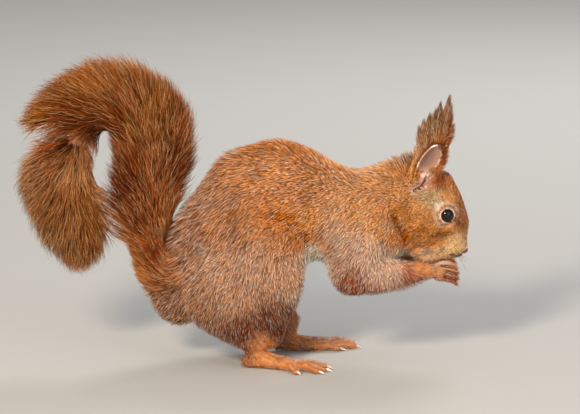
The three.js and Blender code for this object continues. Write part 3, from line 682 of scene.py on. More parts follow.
# Hairs at places on the animal: (x, y, z), the way they lie, length and width in mm, colour, and how many of
# ten have pale tips, partly the hair's own and partly painted highlight. y stands for both sides.
coatRows = {
    "head": [
        ((141, 0, 74), (-0.3, 0, 0.95), 1.3, 0.26, "throat", 2),
        ((139, 0, 84), (-0.45, 0, 0.9), 1.8, 0.30, "brow", 2),
        ((142, 0, 97), (-0.3, 0, 0.95), 2.6, 0.32, "brow", 2),
        ((139, 0, 110), (-0.5, 0, 0.85), 3.2, 0.34, "brow", 2),
        ((132, 0, 121), (-0.8, 0, 0.55), 4.0, 0.36, "brow", 2),
        ((120, 0, 128), (-1, 0, 0.2), 5.0, 0.38, "tan", 2),
        ((137, 8, 90), (-0.4, 0.25, 0.85), 2.0, 0.34, "brow", 2),
        ((137, 8, 100), (-0.45, 0.2, 0.85), 2.4, 0.30, "brow", 3),
        ((131, 12, 104), (-0.8, 0.2, 0.55), 2.6, 0.30, "tan", 2),
        ((122, 15, 106), (-0.8, 0.1, 0.45), 3.2, 0.32, "olive", 2),
        ((116, 15, 110), (-0.9, 0.1, 0.2), 3.4, 0.32, "olive", 2),
        ((127, 14, 87), (-0.95, 0.2, -0.15), 3.0, 0.32, "ochre", 1),
        ((121, 15, 95), (-0.95, 0.15, -0.1), 3.4, 0.34, "tan", 1),
        ((115, 16, 88), (-0.9, 0.15, -0.35), 4.0, 0.36, "ochre", 1),
        ((121, 14, 80), (-0.9, 0.2, -0.2), 3.2, 0.34, "ochre", 1),
        ((136, 9, 80), (-0.8, 0.3, 0.2), 2.0, 0.36, "muzzle", 3),
        ((132, 9, 73), (-0.85, 0.3, 0.0), 2.0, 0.36, "muzzle", 3),
        ((137, 4, 71), (-0.8, 0.35, 0.1), 1.5, 0.32, "muzzle", 3),
        ((128, 4, 68), (-0.95, 0.1, -0.1), 2.0, 0.28, "muzzle", 2),
        ((118, 6, 74), (-0.95, 0.05, -0.2), 3.2, 0.32, "throat", 3),
        ((112, 10, 78), (-0.9, 0.05, -0.3), 4.0, 0.36, "ochre", 2),
        ((110, 17, 98), (-0.9, 0.1, -0.25), 4.4, 0.38, "tan", 1),
    ],
    "body": [
        ((104, 0, 136), (-0.55, 0, 0.83), 12, 0.36, "nape", 5),
        ((110, 4, 133), (-0.3, 0.1, 0.95), 9, 0.34, "nape", 5),
        ((104, 16, 112), (-0.95, 0.05, -0.05), 6.0, 0.44, "tan", 2),
        ((101, 20, 98), (-0.85, 0.1, -0.35), 6.0, 0.46, "ochre", 1),
        ((104, 16, 84), (-0.7, 0.1, -0.6), 6.0, 0.46, "flame", 1),
        ((100, 8, 72), (-0.6, 0, -0.7), 6.5, 0.48, "cream", 4),
        ((88, 0, 127), (-1, 0, 0.15), 9.0, 0.50, "tan", 5),
        ((60, 0, 127), (-1, 0, 0.1), 9.0, 0.54, "warm", 2),
        ((36, 0, 137), (-1, 0, 0.05), 9.5, 0.56, "ridge", 1),
        ((12, 0, 142), (-0.97, 0, -0.15), 10, 0.56, "ridge", 1),
        ((-12, 0, 128), (-0.75, 0, -0.65), 10, 0.56, "rump", 3),
        ((-30, 0, 100), (-0.35, 0, -0.95), 10, 0.56, "rump", 4),
        ((-42, 0, 66), (-0.3, 0, -0.95), 10, 0.56, "rump", 4),
        ((-3, 22, 126), (-0.85, 0, -0.5), 9.0, 0.56, "warm", 2),
        ((-26, 18, 112), (-0.6, 0, -0.8), 9.0, 0.56, "rump", 4),
        ((-38, 18, 84), (-0.35, 0, -0.95), 9.5, 0.56, "rump", 4),
        ((17, 26, 123), (-0.95, 0, -0.2), 9.0, 0.56, "warm", 2),
        ((38, 28, 112), (-0.97, 0, -0.15), 8.5, 0.54, "warm", 2),
        ((42, 32, 95), (-0.9, 0, -0.3), 8.0, 0.54, "tan", 2),
        ((17, 33, 98), (-0.85, 0.1, -0.45), 8.0, 0.52, "warm", 1),
        ((-12, 30, 95), (-0.65, 0, -0.75), 8.5, 0.54, "warm", 3),
        ((50, 28, 80), (-0.85, 0, -0.5), 7.5, 0.50, "warm", 2),
        ((34, 34, 84), (-0.55, 0.1, -0.8), 7.0, 0.50, "warm", 1),
        ((24, 36, 94), (-0.95, 0.1, -0.2), 7.0, 0.50, "warm", 1),
        ((46, 20, 70), (-0.3, 0, -0.95), 8.5, 0.48, "cream", 7),
        ((35, 32, 47), (0.45, 0, -0.88), 9.5, 0.42, "rose", 8),
        ((45, 10, 64), (-0.2, 0, -0.97), 10.0, 0.40, "cream", 5),
        ((66, 0, 58), (-0.9, 0, -0.35), 8.0, 0.50, "cream", 5),
        ((88, 0, 60), (-0.8, 0, -0.5), 7.0, 0.50, "cream", 4),
        ((-10, 0, 55), (-0.9, 0, -0.3), 8.0, 0.50, "cream", 3),
        ((8, 41, 72), (-0.2, 0.05, -0.98), 8.0, 0.54, "rose", 5),
        ((-24, 33, 72), (-0.5, 0, -0.85), 8.5, 0.54, "rose", 5),
        ((26, 38, 56), (-0.05, 0, -1), 8.0, 0.54, "rose", 5),
        ((36, 30, 60), (0.1, 0, -1), 7.5, 0.52, "rose", 4),
        ((-5, 39, 46), (-0.25, 0, -0.95), 8.0, 0.54, "rose", 4),
        ((-34, 28, 38), (-0.4, 0, -0.9), 8.5, 0.54, "rump", 4),
        ((-50, 6, 32), (-0.65, 0, -0.75), 8.5, 0.54, "rump", 3),
        ((-20, 12, 22), (-0.5, 0, -0.85), 7.0, 0.50, "rust", 2),
        ((32, 32, 38), (0.35, 0, -0.93), 7.0, 0.48, "rust", 3),
        ((0, 37, 30), (-0.05, 0, -1), 7.0, 0.50, "rust", 2),
        ((16, 38, 34), (0.1, 0, -1), 7.0, 0.50, "rust", 2),
        ((22, 34, 24), (0.35, 0, -0.93), 6.0, 0.44, "rust", 2),
        ((10, 20, 30), (0, -0.1, -1), 6.0, 0.46, "cream", 3),
        ((60, 32, 83), (-0.6, 0.05, -0.8), 8.0, 0.54, "sand", 8),
        ((75, 28, 100), (-0.8, 0.05, -0.55), 8.0, 0.52, "tan", 4),
        ((80, 33, 78), (-0.5, 0.1, -0.87), 8.0, 0.54, "sand", 9),
        ((91, 26, 90), (-0.75, 0.1, -0.6), 6.5, 0.48, "tan", 4),
        ((85, 31, 64), (-0.3, 0.05, -0.95), 8.0, 0.54, "sand", 8),
        ((96, 25, 64), (0.15, 0, -0.98), 7.0, 0.50, "sand", 7),
        ((70, 30, 56), (-0.4, 0, -0.9), 8.0, 0.54, "arm", 4),
        ((84, 26, 46), (0.0, 0, -1), 8.0, 0.52, "arm", 4),
        ((84, 14, 62), (-0.3, 0, -0.9), 6.0, 0.48, "cream", 3),
    ],
    "limb": [
        ((104, 20, 60), (0.55, 0, -0.85), 5.5, 0.42, "arm", 6),
        ((112, 15, 65), (0.97, -0.1, -0.1), 4.5, 0.38, "foot", 4),
        ((110, 15, 54), (0.6, 0, -0.8), 6.0, 0.42, "arm", 5),
        ((119, 11, 57), (0.85, -0.1, -0.5), 3.6, 0.34, "foot", 6),
        ((125, 8, 61), (0.95, -0.1, -0.1), 2.8, 0.28, "foot", 7),
        ((14, 30, 17), (0.6, 0, -0.75), 3.5, 0.36, "foot", 3),
    ],
    "tail": [
        ((-52, 8, 64), (-0.35, 0, 0.93), 14, 0.50, "chestnut", 1),
        ((-62, 0, 58), (-0.9, 0, 0.3), 12, 0.50, "copper", 3),
        ((-54, 8, 92), (-0.25, 0, 0.97), 20, 0.50, "chestnut", 2),
        ((-42, 4, 112), (0.3, 0, 0.95), 20, 0.50, "bark", 1),
        ((-72, 4, 104), (-0.55, 0, 0.83), 19, 0.50, "bark", 1),
        ((-78, 0, 116), (-0.8, 0, 0.6), 17, 0.50, "bark", 2),
        ((-60, 12, 120), (-0.1, 0, 0.99), 22, 0.50, "chestnut", 2),
        ((-60, 12, 150), (-0.05, 0, 1), 24, 0.50, "copper", 3),
        ((-36, 0, 150), (0.45, 0, 0.9), 23, 0.50, "chestnut", 2),
        ((-46, 6, 172), (0.2, 0, 0.98), 25, 0.50, "copper", 2),
        ((-63, 0, 188), (-0.15, 0, 0.99), 26, 0.50, "copper", 3),
        ((-72, 10, 158), (-0.5, 0, 0.86), 24, 0.50, "chestnut", 2),
        ((-81, 6, 177), (-0.6, 0, 0.8), 26, 0.50, "copper", 3),
        ((-95, 0, 190), (-0.5, 0, 0.87), 26, 0.50, "copper", 2),
        ((-99, 8, 172), (-0.8, 0, 0.55), 26, 0.50, "copper", 2),
        ((-118, 0, 180), (-0.8, 0, 0.55), 26, 0.50, "copper", 2),
        ((-132, 0, 160), (-1, 0, 0.05), 27, 0.50, "copper", 3),
        ((-120, 8, 160), (-0.95, 0, 0.1), 25, 0.50, "copper", 2),
        ((-100, 8, 158), (-0.95, 0, 0.2), 22, 0.50, "chestnut", 1),
        ((-88, 0, 152), (-0.9, 0, 0.3), 12, 0.50, "umber", 0),
        ((-76, 0, 145), (-0.7, 0, 0.65), 14, 0.50, "umber", 0),
        ((-114, 8, 142), (-0.78, 0, -0.6), 22, 0.50, "chestnut", 3),
        ((-134, 0, 132), (-0.84, 0, -0.54), 24, 0.50, "fawn", 3),
        ((-132, 4, 112), (-0.74, 0, -0.67), 26, 0.50, "fawn", 4),
        ((-120, 9, 112), (-0.56, 0, -0.83), 24, 0.50, "copper", 3),
        ((-106, 9, 128), (-0.35, 0, -0.94), 18, 0.50, "straw", 4),
        ((-104, 9, 143), (-0.35, 0, -0.94), 6, 0.40, "straw", 2),
        ((-98, 3, 112), (0.2, 0, -0.97), 20, 0.50, "copper", 2),
        ((-94, 3, 95), (0.2, 0, -0.98), 22, 0.50, "copper", 2),
        ((-111, 9, 88), (-0.1, 0, -1), 24, 0.50, "copper", 4),
        ((-124, 4, 90), (-0.35, 0, -0.93), 25, 0.50, "fawn", 4),
        ((-92, 4, 76), (0.12, 0, -1), 25, 0.50, "straw", 4),
        ((-108, 0, 68), (-0.1, 0, -1), 26, 0.50, "straw", 4),
    ],
    "foot": [
        ((14, 29, 12), (0.85, 0, -0.5), 3.2, 0.34, "foot", 3),
        ((4, 26, 14), (0.25, 0, -0.95), 4.0, 0.36, "rust", 2),
        ((26, 31, 8), (0.98, 0, -0.15), 2.6, 0.30, "foot", 4),
        ((36, 34, 6), (0.97, 0, -0.1), 3.2, 0.28, "foot", 7),
        ((46, 40, 4), (0.95, 0, -0.15), 2.4, 0.26, "foot", 7),
        ((129, 8, 63), (0.95, -0.1, 0.1), 2.6, 0.26, "foot", 7),
        ((129, 8, 54), (0.9, -0.1, -0.3), 2.2, 0.26, "arm", 4),
        ((135, 6, 62), (0.95, -0.3, -0.3), 0.8, 0.22, "foot", 6),
        ((135, 5, 54), (0.9, -0.3, -0.4), 0.8, 0.22, "arm", 3),
    ],
    "ear": [
        ((113, 12, 118), (-0.3, 0.1, 0.95), 3.2, 0.32, "flame", 2),
        ((116, 10, 128), (-0.1, 0.1, 0.98), 3.2, 0.32, "tan", 2),
        ((124, 13, 119), (0.25, 0.1, 0.95), 2.4, 0.30, "band", 1),
        ((126, 14, 132), (0.25, 0.1, 0.95), 2.4, 0.30, "band", 1),
        ((111, 15, 122), (-0.2, 0.1, 0.95), 2.4, 0.30, "tan", 2),
        ((122, 14, 138), (0.2, 0.1, 0.97), 4.0, 0.32, "rust", 2),
    ],
}

# Pieces of the coat. Each says which rows it grows, how many tufts it has, the joints along a hair, and the
# area of skin under it in square mm. "clump" is the distance between clumps, "pull" how far hairs lean into
# one, "loose" how far they turn aside and "stray" the share that stands up. "tips" is the range in which tips
# stand past the outline, as shares of the coat's depth, and "farthest" the most mm past it. A piece that is
# "raiseOnly" keeps its hairs' length and only lifts them. "tint" is how much the hairs and the clumps differ.
# "pale" is the colour of the pale tips: partly the hair's own, partly painted highlight
coatPieces = {
    "head": {
        "kinds": ("head", "ear"), "slot": "body_coat", "tufts": 30000, "segments": 2, "area": 7900,
        "scale": 0.95, "wide": 0.95, "clump": 1.7, "pull": 0.30, "loose": 0.16, "stray": 0.04,
        "tips": (-0.4, 0.15), "raiseOnly": True, "tint": (0.21, 0.14), "pale": "#f3ddc2",
    },
    "body": {
        "kinds": ("body",), "slot": "body_coat", "tufts": 54000, "segments": 2, "area": 46400,
        "scale": 0.78, "wide": 0.78, "clump": 1.6, "pull": 0.38, "loose": 0.14, "stray": 0.05,
        "tips": (-0.35, 0.25), "farthest": 2.5, "raiseOnly": False, "tint": (0.25, 0.12), "pale": "#f6e6d8",
    },
    "limb": {
        "kinds": ("limb", "foot"), "slot": "foot", "tufts": 11000, "segments": 2, "area": 8800,
        "scale": 0.9, "wide": 0.9, "clump": 1.6, "pull": 0.35, "loose": 0.14, "stray": 0.04,
        "tips": (-0.4, 0.15), "raiseOnly": True, "tint": (0.21, 0.14), "pale": "#f8ebe2",
    },
    "tail": {
        "kinds": ("tail",), "slot": "tail_coat", "tufts": 28000, "segments": 3, "area": 17300,
        "scale": 1.0, "wide": 0.84, "clump": 2.6, "pull": 0.32, "loose": 0.20, "stray": 0.12,
        "tips": (-0.3, 0.45), "farthest": 5.5, "raiseOnly": False, "tint": (0.19, 0.12), "pale": "#dcae7e",
    },
}
hairSizes = {
    "patch": 0.003,  # of the map, for one tuft
    "most": 195000,  # triangles in one piece
    "sink": 0.5,  # how deep roots stand in the skin, in mm
    "floor": 0.12,  # the lowest that a hair comes
    "girth": {2: (0.85, 0.8), 3: (0.8, 1.0, 0.62)},  # along a hair, by how many joints it has
}
coatKinds = list(coatRows)


def coatTable():
    # one row for each place on both sides: the place, its kind, and what spread() carries to the hairs
    places, kinds, values = [], [], []
    for kind, rows in coatRows.items():
        for place, way, length, width, colour, pale in rows:
            for side in ((-1, 1) if place[1] > 0 else (1,)):
                shift = footSizes["step"] if side > 0 and kind == "foot" and place[2] < 20 else 0
                places.append(at(place[0] + shift, place[1] * side, place[2]))
                kinds.append(coatKinds.index(kind))
                tone = hexToLinear(coatColours[colour])
                values.append([way[0], way[1] * side, way[2], length, width, *tone, pale / 10])
    return np.array(places, np.float32), np.array(kinds), np.array(values, np.float32)


def nearestKind(points):
    # the kind of the coat's nearest place
    out = np.empty(len(points), int)
    most = 50000  # points at a time
    for start in range(0, len(points), most):
        block = points[start:start + most].astype(np.float32)
        d2 = ((block[:, None, :] - coatPlaces[None]) ** 2).sum(-1)
        out[start:start + most] = coatKindOf[d2.argmin(1)]
    return out


def ripple(points, wavelength, seed):
    # a smooth pattern of about -1 to 1, with about wavelength mm between its crests
    own = np.random.default_rng(seed)
    ways = unit(own.normal(size=(9, 3))) * (2 * math.pi / wavelength) * own.uniform(0.6, 1.5, (9, 1))
    phases = own.uniform(0, 2 * math.pi, 9)
    return np.sin(points @ ways.T + phases).sum(1) / 3


def fromLine(points, start, end):
    # distance to a stretch of line
    start, end = np.asarray(start), np.asarray(end)
    along = end - start
    t = np.clip((points - start) @ along / (along @ along), 0, 1)
    return np.linalg.norm(points - start - t[:, None] * along, axis=1)


def fromPath(points, path):
    # distance to a line from place to place
    return np.min([fromLine(points, a, b) for a, b in zip(path, path[1:])], axis=0)


def fromFingerGaps(points, side):
    return np.min([fromPath(points, gap) for gap in fingerGaps(side)], axis=0)


def streak(points, side, start, end, core, edge):
    # 1 within core of a line on one side of the animal, 0 beyond edge
    start, end = (at(x, y * side, z) for x, y, z in (start, end))
    return smoothStep(edge, core, fromLine(points, start, end))


def eyeDistance(points, side):
    # distance from the line that the eye looks along, squashed as the opening is
    eye = eyeOn(side)
    forward, up, out = headAxes(side)
    d = points - eye
    return np.where(d @ out > 0, np.hypot(d @ forward, d @ up), 99)


def mixed(colours, other, amount):
    # colours, and as much of the other one as amount says at each point
    return colours + (np.array(hexToLinear(other)) - colours) * np.clip(amount, 0, 1)[:, None]


def inEar(points, normals, side):
    # below 1 in the bare hollow of the ear, an egg that reaches to the leaf's rear edge
    middle, along, across, face = earFrame(side)
    d = points - middle
    egg = np.hypot((d @ along - 4.0) / 10.4, (d @ across - 2.7) / 6.9)
    return egg + 4 * smoothStep(0.3, 0.05, normals @ face) + 4 * (np.abs(d @ face) > 9)


def eyeMarkings(points, colours, side):
    # a pale ring round the eye, an orange one inside it and the pale lid, and a pale patch behind them
    ring = eyeDistance(points, side)
    eye = eyeOn(side)
    forward, _, out = headAxes(side)
    toNose = (points - eye) @ forward / np.maximum(ring, 1)
    uneven = ring + 0.4 * ripple(points, 4, 35)
    pale = (0.45 + 0.45 * smoothStep(0.8, 0.0, toNose)) * smoothStep(8.8, 7.6, uneven)
    colours = mixed(colours, "#e2ccb2", pale)
    behind = np.linalg.norm(points - eye + forward * 7.4 - out * 2, axis=1)
    colours = mixed(colours, "#f2e0c4", 0.8 * smoothStep(4.4, 1.8, behind))
    colours = mixed(colours, "#bd7236", 0.85 * smoothStep(1.1, 0.55, np.abs(uneven - 5.9)))
    return mixed(colours, "#ecd3bd", smoothStep(5.0, 4.75, ring))


def cheekMarkings(points, colours, side):
    # a dark band along the crease under the eye, partly painted shade, and dark waves on the cheek below and
    # behind it
    wave = 0.5 * ripple(points, 5, 31)
    crease = np.abs(fromLine(points, *creases[side]) + wave)
    # the hairs' own brown, and painted shade in the crease
    colours = mixed(colours, "#743a17", 0.75 * smoothStep(3.0, 0.4, crease))
    cheek = smoothStep(13, 7, np.linalg.norm(points - at(118, 15 * side, 84), axis=1))
    waves = smoothStep(0.35, 0.9, ripple(points * [1, 1, 2.2], 7, 33))
    return mixed(colours, "#8a4a1e", 0.5 * cheek * waves)


def muzzleMarkings(points, colours, side):
    # dots where the whiskers stand, the pale stripe above them, and the dark lips with painted shade
    places = [onHead(forward, up, out * side) for forward, up, out in whiskerDots]
    dots = np.min([np.linalg.norm(points - place, axis=1) for place in places], axis=0)
    colours = mixed(colours, "#54341c", 0.85 * smoothStep(0.85, 0.45, dots))
    stripe = streak(points, side, (140.3, 4, 82), (138.6, 5, 74.5), 0.8, 2.0)
    colours = mixed(colours, "#f2dfc0", 0.7 * stripe)
    # the lips' own dark skin, and painted shade along the line of the mouth
    lips = fromLine(points, onHead(26.5, -3.2, 2.6 * side), onHead(22.5, -5.8, 6.4 * side))
    return mixed(colours, "#3c2014", 0.9 * smoothStep(2.5, 1.3, lips))


def earMarkings(points, colours, side):
    # pale pink skin round the fold below the ear, painted shade in the fold and at the root of its front edge
    fold = fromPath(points, earFolds[side])
    colours = mixed(colours, "#eec4b0", 0.7 * smoothStep(4.0, 2.2, fold))
    # painted shade in the fold
    colours = mixed(colours, "#5e2414", 0.95 * smoothStep(1.7, 1.1, fold))
    # painted shadow where the ear's front edge meets the head
    return mixed(colours, "#5e3418", 0.6 * streak(points, side, (124, 13, 121), (126.5, 12, 119), 0.8, 2.6))


def bodyMarkings(points, colours, side):
    # the pale wrist, the fold in front of the thigh, the edge of the shoulder, and the belly between them
    colours = mixed(colours, "#f0dccb", 0.35 * streak(points, side, (121, 9, 62.5), (130, 9, 64), 1.0, 3.6))
    fold = fromPath(points, thighFold[side])
    front = smoothStep(at(6, 0, 0)[0], at(24, 0, 0)[0], points[:, 0])
    front *= smoothStep(at(0, 0, 72)[2], at(0, 0, 80)[2], points[:, 2])
    warm = smoothStep(7.5, 3.0, fold + 1.2 * ripple(points, 9, 37))
    colours = mixed(colours, "#dc8130", 0.7 * front * warm)
    # painted shade in the fold in front of the thigh
    dark = smoothStep(2.3, 1.6, fold + 0.3 * ripple(points, 5, 38))
    colours = mixed(colours, "#4c1f08", 0.85 * front * dark)
    # painted shade along the groove at the shoulder's edge, broken into bands
    bands = smoothStep(-0.2, 0.6, np.sin(points[:, 2] * 1.9 + points[:, 0] * 0.7))
    edge = smoothStep(4.2, 1.2, fromPath(points, shoulderEdge[side]))
    colours = mixed(colours, "#6e3a18", (0.35 + 0.5 * bands) * edge)
    return mixed(colours, "#f4e4cc", 0.85 * streak(points, side, (45, 24, 76), (50, 16, 60), 4.0, 9.0))


def tailMarkings(points, colours, side):
    # the thin grey patch where the tail folds, peach hair below it, and a paler parting along the middle
    grey = streak(points, side, (-110, 12, 144), (-99, 12, 141), 2.5, 6.5)
    colours = mixed(colours, "#8b7b6c", 0.8 * grey)
    peach = streak(points, side, (-106, 12, 138), (-102, 12, 125), 2.5, 6.0)
    colours = mixed(colours, "#dcae88", 0.85 * peach)
    places = [(-47, 0, 70), (-54, 0, 105), (-60, 0, 140), (-68, 0, 160), (-82, 0, 172)]
    parting = fromPath(points * [1, 0, 1], [at(*place) for place in places])
    return mixed(colours, "#b4764a", 0.22 * smoothStep(7.0, 1.0, parting + 1.5 * ripple(points, 16, 39)))


def markings(points, colours):
    # what changes colour too sharply for the table
    for side in (-1, 1):
        for part in (eyeMarkings, cheekMarkings, muzzleMarkings, earMarkings, bodyMarkings, tailMarkings):
            colours = part(points, colours, side)
    return colours


def coatColour(points, values):
    # the table's colours and the markings, and how the coat fades in and out over 34, 11 and 4 mm
    colours = markings(points, values[:, 5:8].astype(float))
    fade = 1 + 0.08 * ripple(points, 34, 3) + 0.10 * ripple(points, 11, 4) + 0.12 * ripple(points, 4, 5)
    return np.clip(colours * fade[:, None], 0, 1)


def material(name, roughness, **settings):
    # a Principled material, its sockets set by name
    made = bpy.data.materials.new(name)
    made.use_nodes = True
    shader = made.node_tree.nodes["Principled BSDF"]
    shader.inputs["Roughness"].default_value = roughness
    for socket, value in settings.items():
        shader.inputs[socket.replace("_", " ")].default_value = value
    return made, made.node_tree, shader


def grainScale(size):
    # a pattern's scale, from the size of its grain in mm
    return 1 / (size * mm)


def addNode(tree, kind, settings=None, **links):
    # settings are put on the node, its sockets or the stops of its ramp; links are sockets that feed it
    node = tree.nodes.new(kind)
    for name, value in (settings or {}).items():
        if name == "stops":
            for stop, (place, colour) in zip(node.color_ramp.elements, value):
                stop.position = place
                stop.color = (*hexToLinear(colour), 1)
        elif hasattr(node, name):
            setattr(node, name, value)
        else:
            node.inputs[name].default_value = value
    for name, source in links.items():
        tree.links.new(source, node.inputs[name.replace("_", " ")])
    return node


def paint(mesh, colours):
    # a colour at every corner, for the materials to read
    layer = mesh.color_attributes.new("coat", "FLOAT_COLOR", "POINT")
    full = np.ones((len(mesh.vertices), 4), np.float32)
    full[:, :3] = colours
    layer.data.foreach_set("color", full.ravel())


def thinOut(piece, triangles, fine):
    # fewer triangles, taken from where fine is low
    group = piece.vertex_groups.new(name="plain")
    plain = np.round(1 - fine, 1)
    for level in np.unique(plain):
        group.add(np.nonzero(plain == level)[0].tolist(), float(level), "REPLACE")
    change = piece.modifiers.new("fewer", "DECIMATE")
    change.ratio = triangles / (2 * len(piece.data.polygons))
    change.vertex_group = "plain"
    change.use_collapse_triangulate = True
    mesh = bpy.data.meshes.new_from_object(piece.evaluated_get(bpy.context.evaluated_depsgraph_get()))
    piece.modifiers.clear()
    piece.vertex_groups.clear()
    piece.data, old = mesh, piece.data
    bpy.data.meshes.remove(old)
    mesh.name = piece.name


def detailAt(points):
    # how much of its detail the skin keeps: more at the ears, hands, feet and head than on the body
    head = smoothStep(30, 22, np.linalg.norm(points - at(124, 0, 96), axis=1))
    ear = smoothStep(26, 20, np.linalg.norm((points - at(121, 0, 126)) * [1, 0.7, 1], axis=1))
    hand = smoothStep(12, 9, np.linalg.norm((points - at(130, 0, 58)), axis=1))
    foot = smoothStep(14, 9, points[:, 2]) * smoothStep(0, 8, points[:, 0] - at(0, 0, 0)[0])
    return np.maximum.reduce([head * 0.7, ear, hand, foot * 0.9])


def unwrap(piece):
    # the map that the coat's patches are placed by
    piece.data.uv_layers.new(name="OFBake")
    bpy.context.view_layer.objects.active = piece
    piece.select_set(True)
    bpy.ops.object.mode_set(mode="EDIT")
    bpy.ops.mesh.select_all(action="SELECT")
    bpy.ops.uv.smart_project(angle_limit=1.15, island_margin=0.002)
    bpy.ops.object.mode_set(mode="OBJECT")
    piece.select_set(False)


print("making the skin")
coatPlaces, coatKindOf, coatValues = coatTable()
skin = makePiece("skin", skinPoints, skinQuads, None)
thinOut(skin, skinSizes["triangles"], detailAt(skinPoints))
unwrap(skin)

skinCo = readPoints(skin.data).astype(float)
skinTris = readTriangles(skin.data)
skinNormal = np.empty(len(skinCo) * 3, np.float32)
skin.data.vertices.foreach_get("normal", skinNormal)
skinNormal = skinNormal.reshape(-1, 3).astype(float)
skinLoops = np.empty(len(skinTris) * 3, np.int32)
skin.data.loop_triangles.foreach_get("loops", skinLoops)
skinUv = np.empty(len(skin.data.loops) * 2, np.float32)
skin.data.uv_layers["OFBake"].data.foreach_get("uv", skinUv)
skinUv = skinUv.reshape(-1, 2)[skinLoops.reshape(-1, 3)]

skinValues = spread(coatPlaces, coatValues, skinCo.astype(np.float32), 3.0)
depthRows = bothSides(coatDepths)
depthPlaces, depths = [at(*place) for place, _ in depthRows], [depth for _, depth in depthRows]
skinDepth = spread(depthPlaces, depths, skinCo.astype(np.float32), 3.0)[:, 0]
# each triangle's corners, middle, normal and area
triCorner = skinCo[skinTris]
triMiddle = triCorner.mean(1)
triNormal = unit(skinNormal[skinTris].mean(1))
triCross = np.cross(triCorner[:, 1] - triCorner[:, 0], triCorner[:, 2] - triCorner[:, 0])
triArea = np.linalg.norm(triCross, axis=1) / 2


def bareness(points, normals):
    # 1 where no hair stands: the eyes, the nose, the hollow of the ears, the soles and the folds
    bare = smoothStep(0.9, 0.3, points[:, 2])
    for side in (-1, 1):
        bare = np.maximum(bare, smoothStep(4.8, 4.6, eyeDistance(points, side)))
        bare = np.maximum(bare, smoothStep(1.04, 0.96, inEar(points, normals, side)))
        tear = tearPath(side)
        bare = np.maximum(bare, smoothStep(1.5, 1.1, fromLine(points, tear[0], tear[-1])))
        bare = np.maximum(bare, smoothStep(1.5, 0.9, fromPath(points, earFolds[side])))
        bare = np.maximum(bare, smoothStep(1.0, 0.7, fromFingerGaps(points, side)))
    thin = fromLine(points * [1, 0, 1], at(-108, 0, 145), at(-101, 0, 142.5))
    bare = np.maximum(bare, 0.9 * smoothStep(4.2, 2.8, thin + 0.4 * ripple(points, 5, 40)))
    nose = np.linalg.norm((points - onHead(27.4, 0.8, 0)) * [1, 0.8, 1], axis=1)
    return np.maximum(bare, smoothStep(2.7, 2.3, nose))


def skinColour(points, values):
    # the coat's colours, darkened as painted shade under the hairs, with bare skin and a white rim in the
    # ears, and painted shadow between the fingers
    # painted shade: the skin seen between the hairs is darker, so that the coat looks deep
    colours = coatColour(points, values) * 0.72
    for side in (-1, 1):
        inside = inEar(points, skinNormal, side)
        colours = mixed(colours, "#a9836f", smoothStep(1.1, 0.95, inside))
        colours = mixed(colours, "#82604f", 0.65 * smoothStep(0.9, 0.3, inside))
        low = np.linalg.norm(points - at(117.5, 16 * side, 123.5), axis=1)
        colours = mixed(colours, "#e0b4a4", 0.7 * smoothStep(6, 2.5, low))
        rim = smoothStep(0.94, 1.0, inside) * smoothStep(1.14, 1.08, inside)
        colours = mixed(colours, "#f8efe6", 0.95 * rim)
        # painted shadow between the fingers
        colours = mixed(colours, "#2e150c", 0.85 * smoothStep(1.3, 0.8, fromFingerGaps(points, side)))
    return colours


def nearEye(points):
    # how much shorter hairs are round the eyes
    ring = np.minimum(eyeDistance(points, -1), eyeDistance(points, 1))
    return 0.4 + 0.6 * smoothStep(5.0, 10, ring)


def scatter(kinds, count):
    # roots for the tufts, spread evenly for the area that each one covers
    wanted = np.isin(triKind, [coatKinds.index(k) for k in kinds])
    values = skinValues[skinTris].mean(1)
    covered = values[:, 3] * values[:, 4] * nearEye(triMiddle)
    total = np.cumsum(triArea * wanted * (1 - bareness(triMiddle, triNormal)) / covered)
    picks = np.searchsorted(total, (np.arange(count) + rng.uniform(0, 1, count)) * (total[-1] / count))
    picks = np.minimum(picks, len(total) - 1)
    a, b = rng.uniform(0, 1, count), rng.uniform(0, 1, count)
    flip = a + b > 1
    a[flip], b[flip] = 1 - a[flip], 1 - b[flip]
    share = np.stack([1 - a - b, a, b], 1)

    def mix(values):
        return (values * share[:, :, None]).sum(1)

    tri = skinTris[picks]
    return {"root": mix(skinCo[tri]), "normal": unit(mix(skinNormal[tri])), "values": mix(skinValues[tri]),
            "depth": mix(skinDepth[tri][:, :, None])[:, 0], "uv": mix(skinUv[picks])}


def clumpCentres(roots, size, area):
    # the nearest of a thinner set of roots
    count = max(1, int(area / size ** 2))
    chosen = np.linspace(0, len(roots) - 1, count).astype(int)
    tree = KDTree(count)
    for i, k in enumerate(chosen):
        tree.insert(roots[k], i)
    tree.balance()
    return chosen[np.array([tree.find(root)[1] for root in roots])]


def tuftTemplate(segments):
    # triangles of one closed three-sided hair, and where their corners lie on its patch of the map
    tip = 3 * segments
    faces, places = [(0, 2, 1)], [((0, 0), (0.66, 0), (0.33, 0.08))]
    for j in range(segments):
        low, high = 0.1 + 0.9 * j / segments, 0.1 + 0.9 * (j + 1) / segments
        for k in range(3):
            a, b = 3 * j + k, 3 * j + (k + 1) % 3
            u, v = k / 3, (k + 1) / 3
            if j == segments - 1:
                faces.append((a, b, tip))
                places.append(((u, low), (v, low), ((u + v) / 2, high)))
            else:
                faces.append((a, b, b + 3))
                places.append(((u, low), (v, low), (v, high)))
                faces.append((a, b + 3, a + 3))
                places.append(((u, low), (v, high), (u, high)))
    return np.array(faces), np.array(places)


def toOutline(root, way, normal, depth, length, aimed, full, raiseOnly):
    # raise or lower the tips until they stand where the coat's outline is
    least = depth if raiseOnly else 0.15 * full
    reach = np.sqrt(length ** 2 - np.minimum(depth, length * 0.75) ** 2)
    shortest = reach if raiseOnly else 0.4 * reach
    for _ in range(5):
        over = sampled(outline, root + way * reach[:, None] + normal * depth[:, None]) - aimed
        most = np.maximum(least, np.minimum(2.0 * full + 1, length * 0.8))
        moved = np.clip(depth - 0.7 * over, least, most)
        reach = np.maximum(reach - 0.5 * np.maximum(over - (depth - moved), 0), shortest)
        depth = moved
    return depth, reach


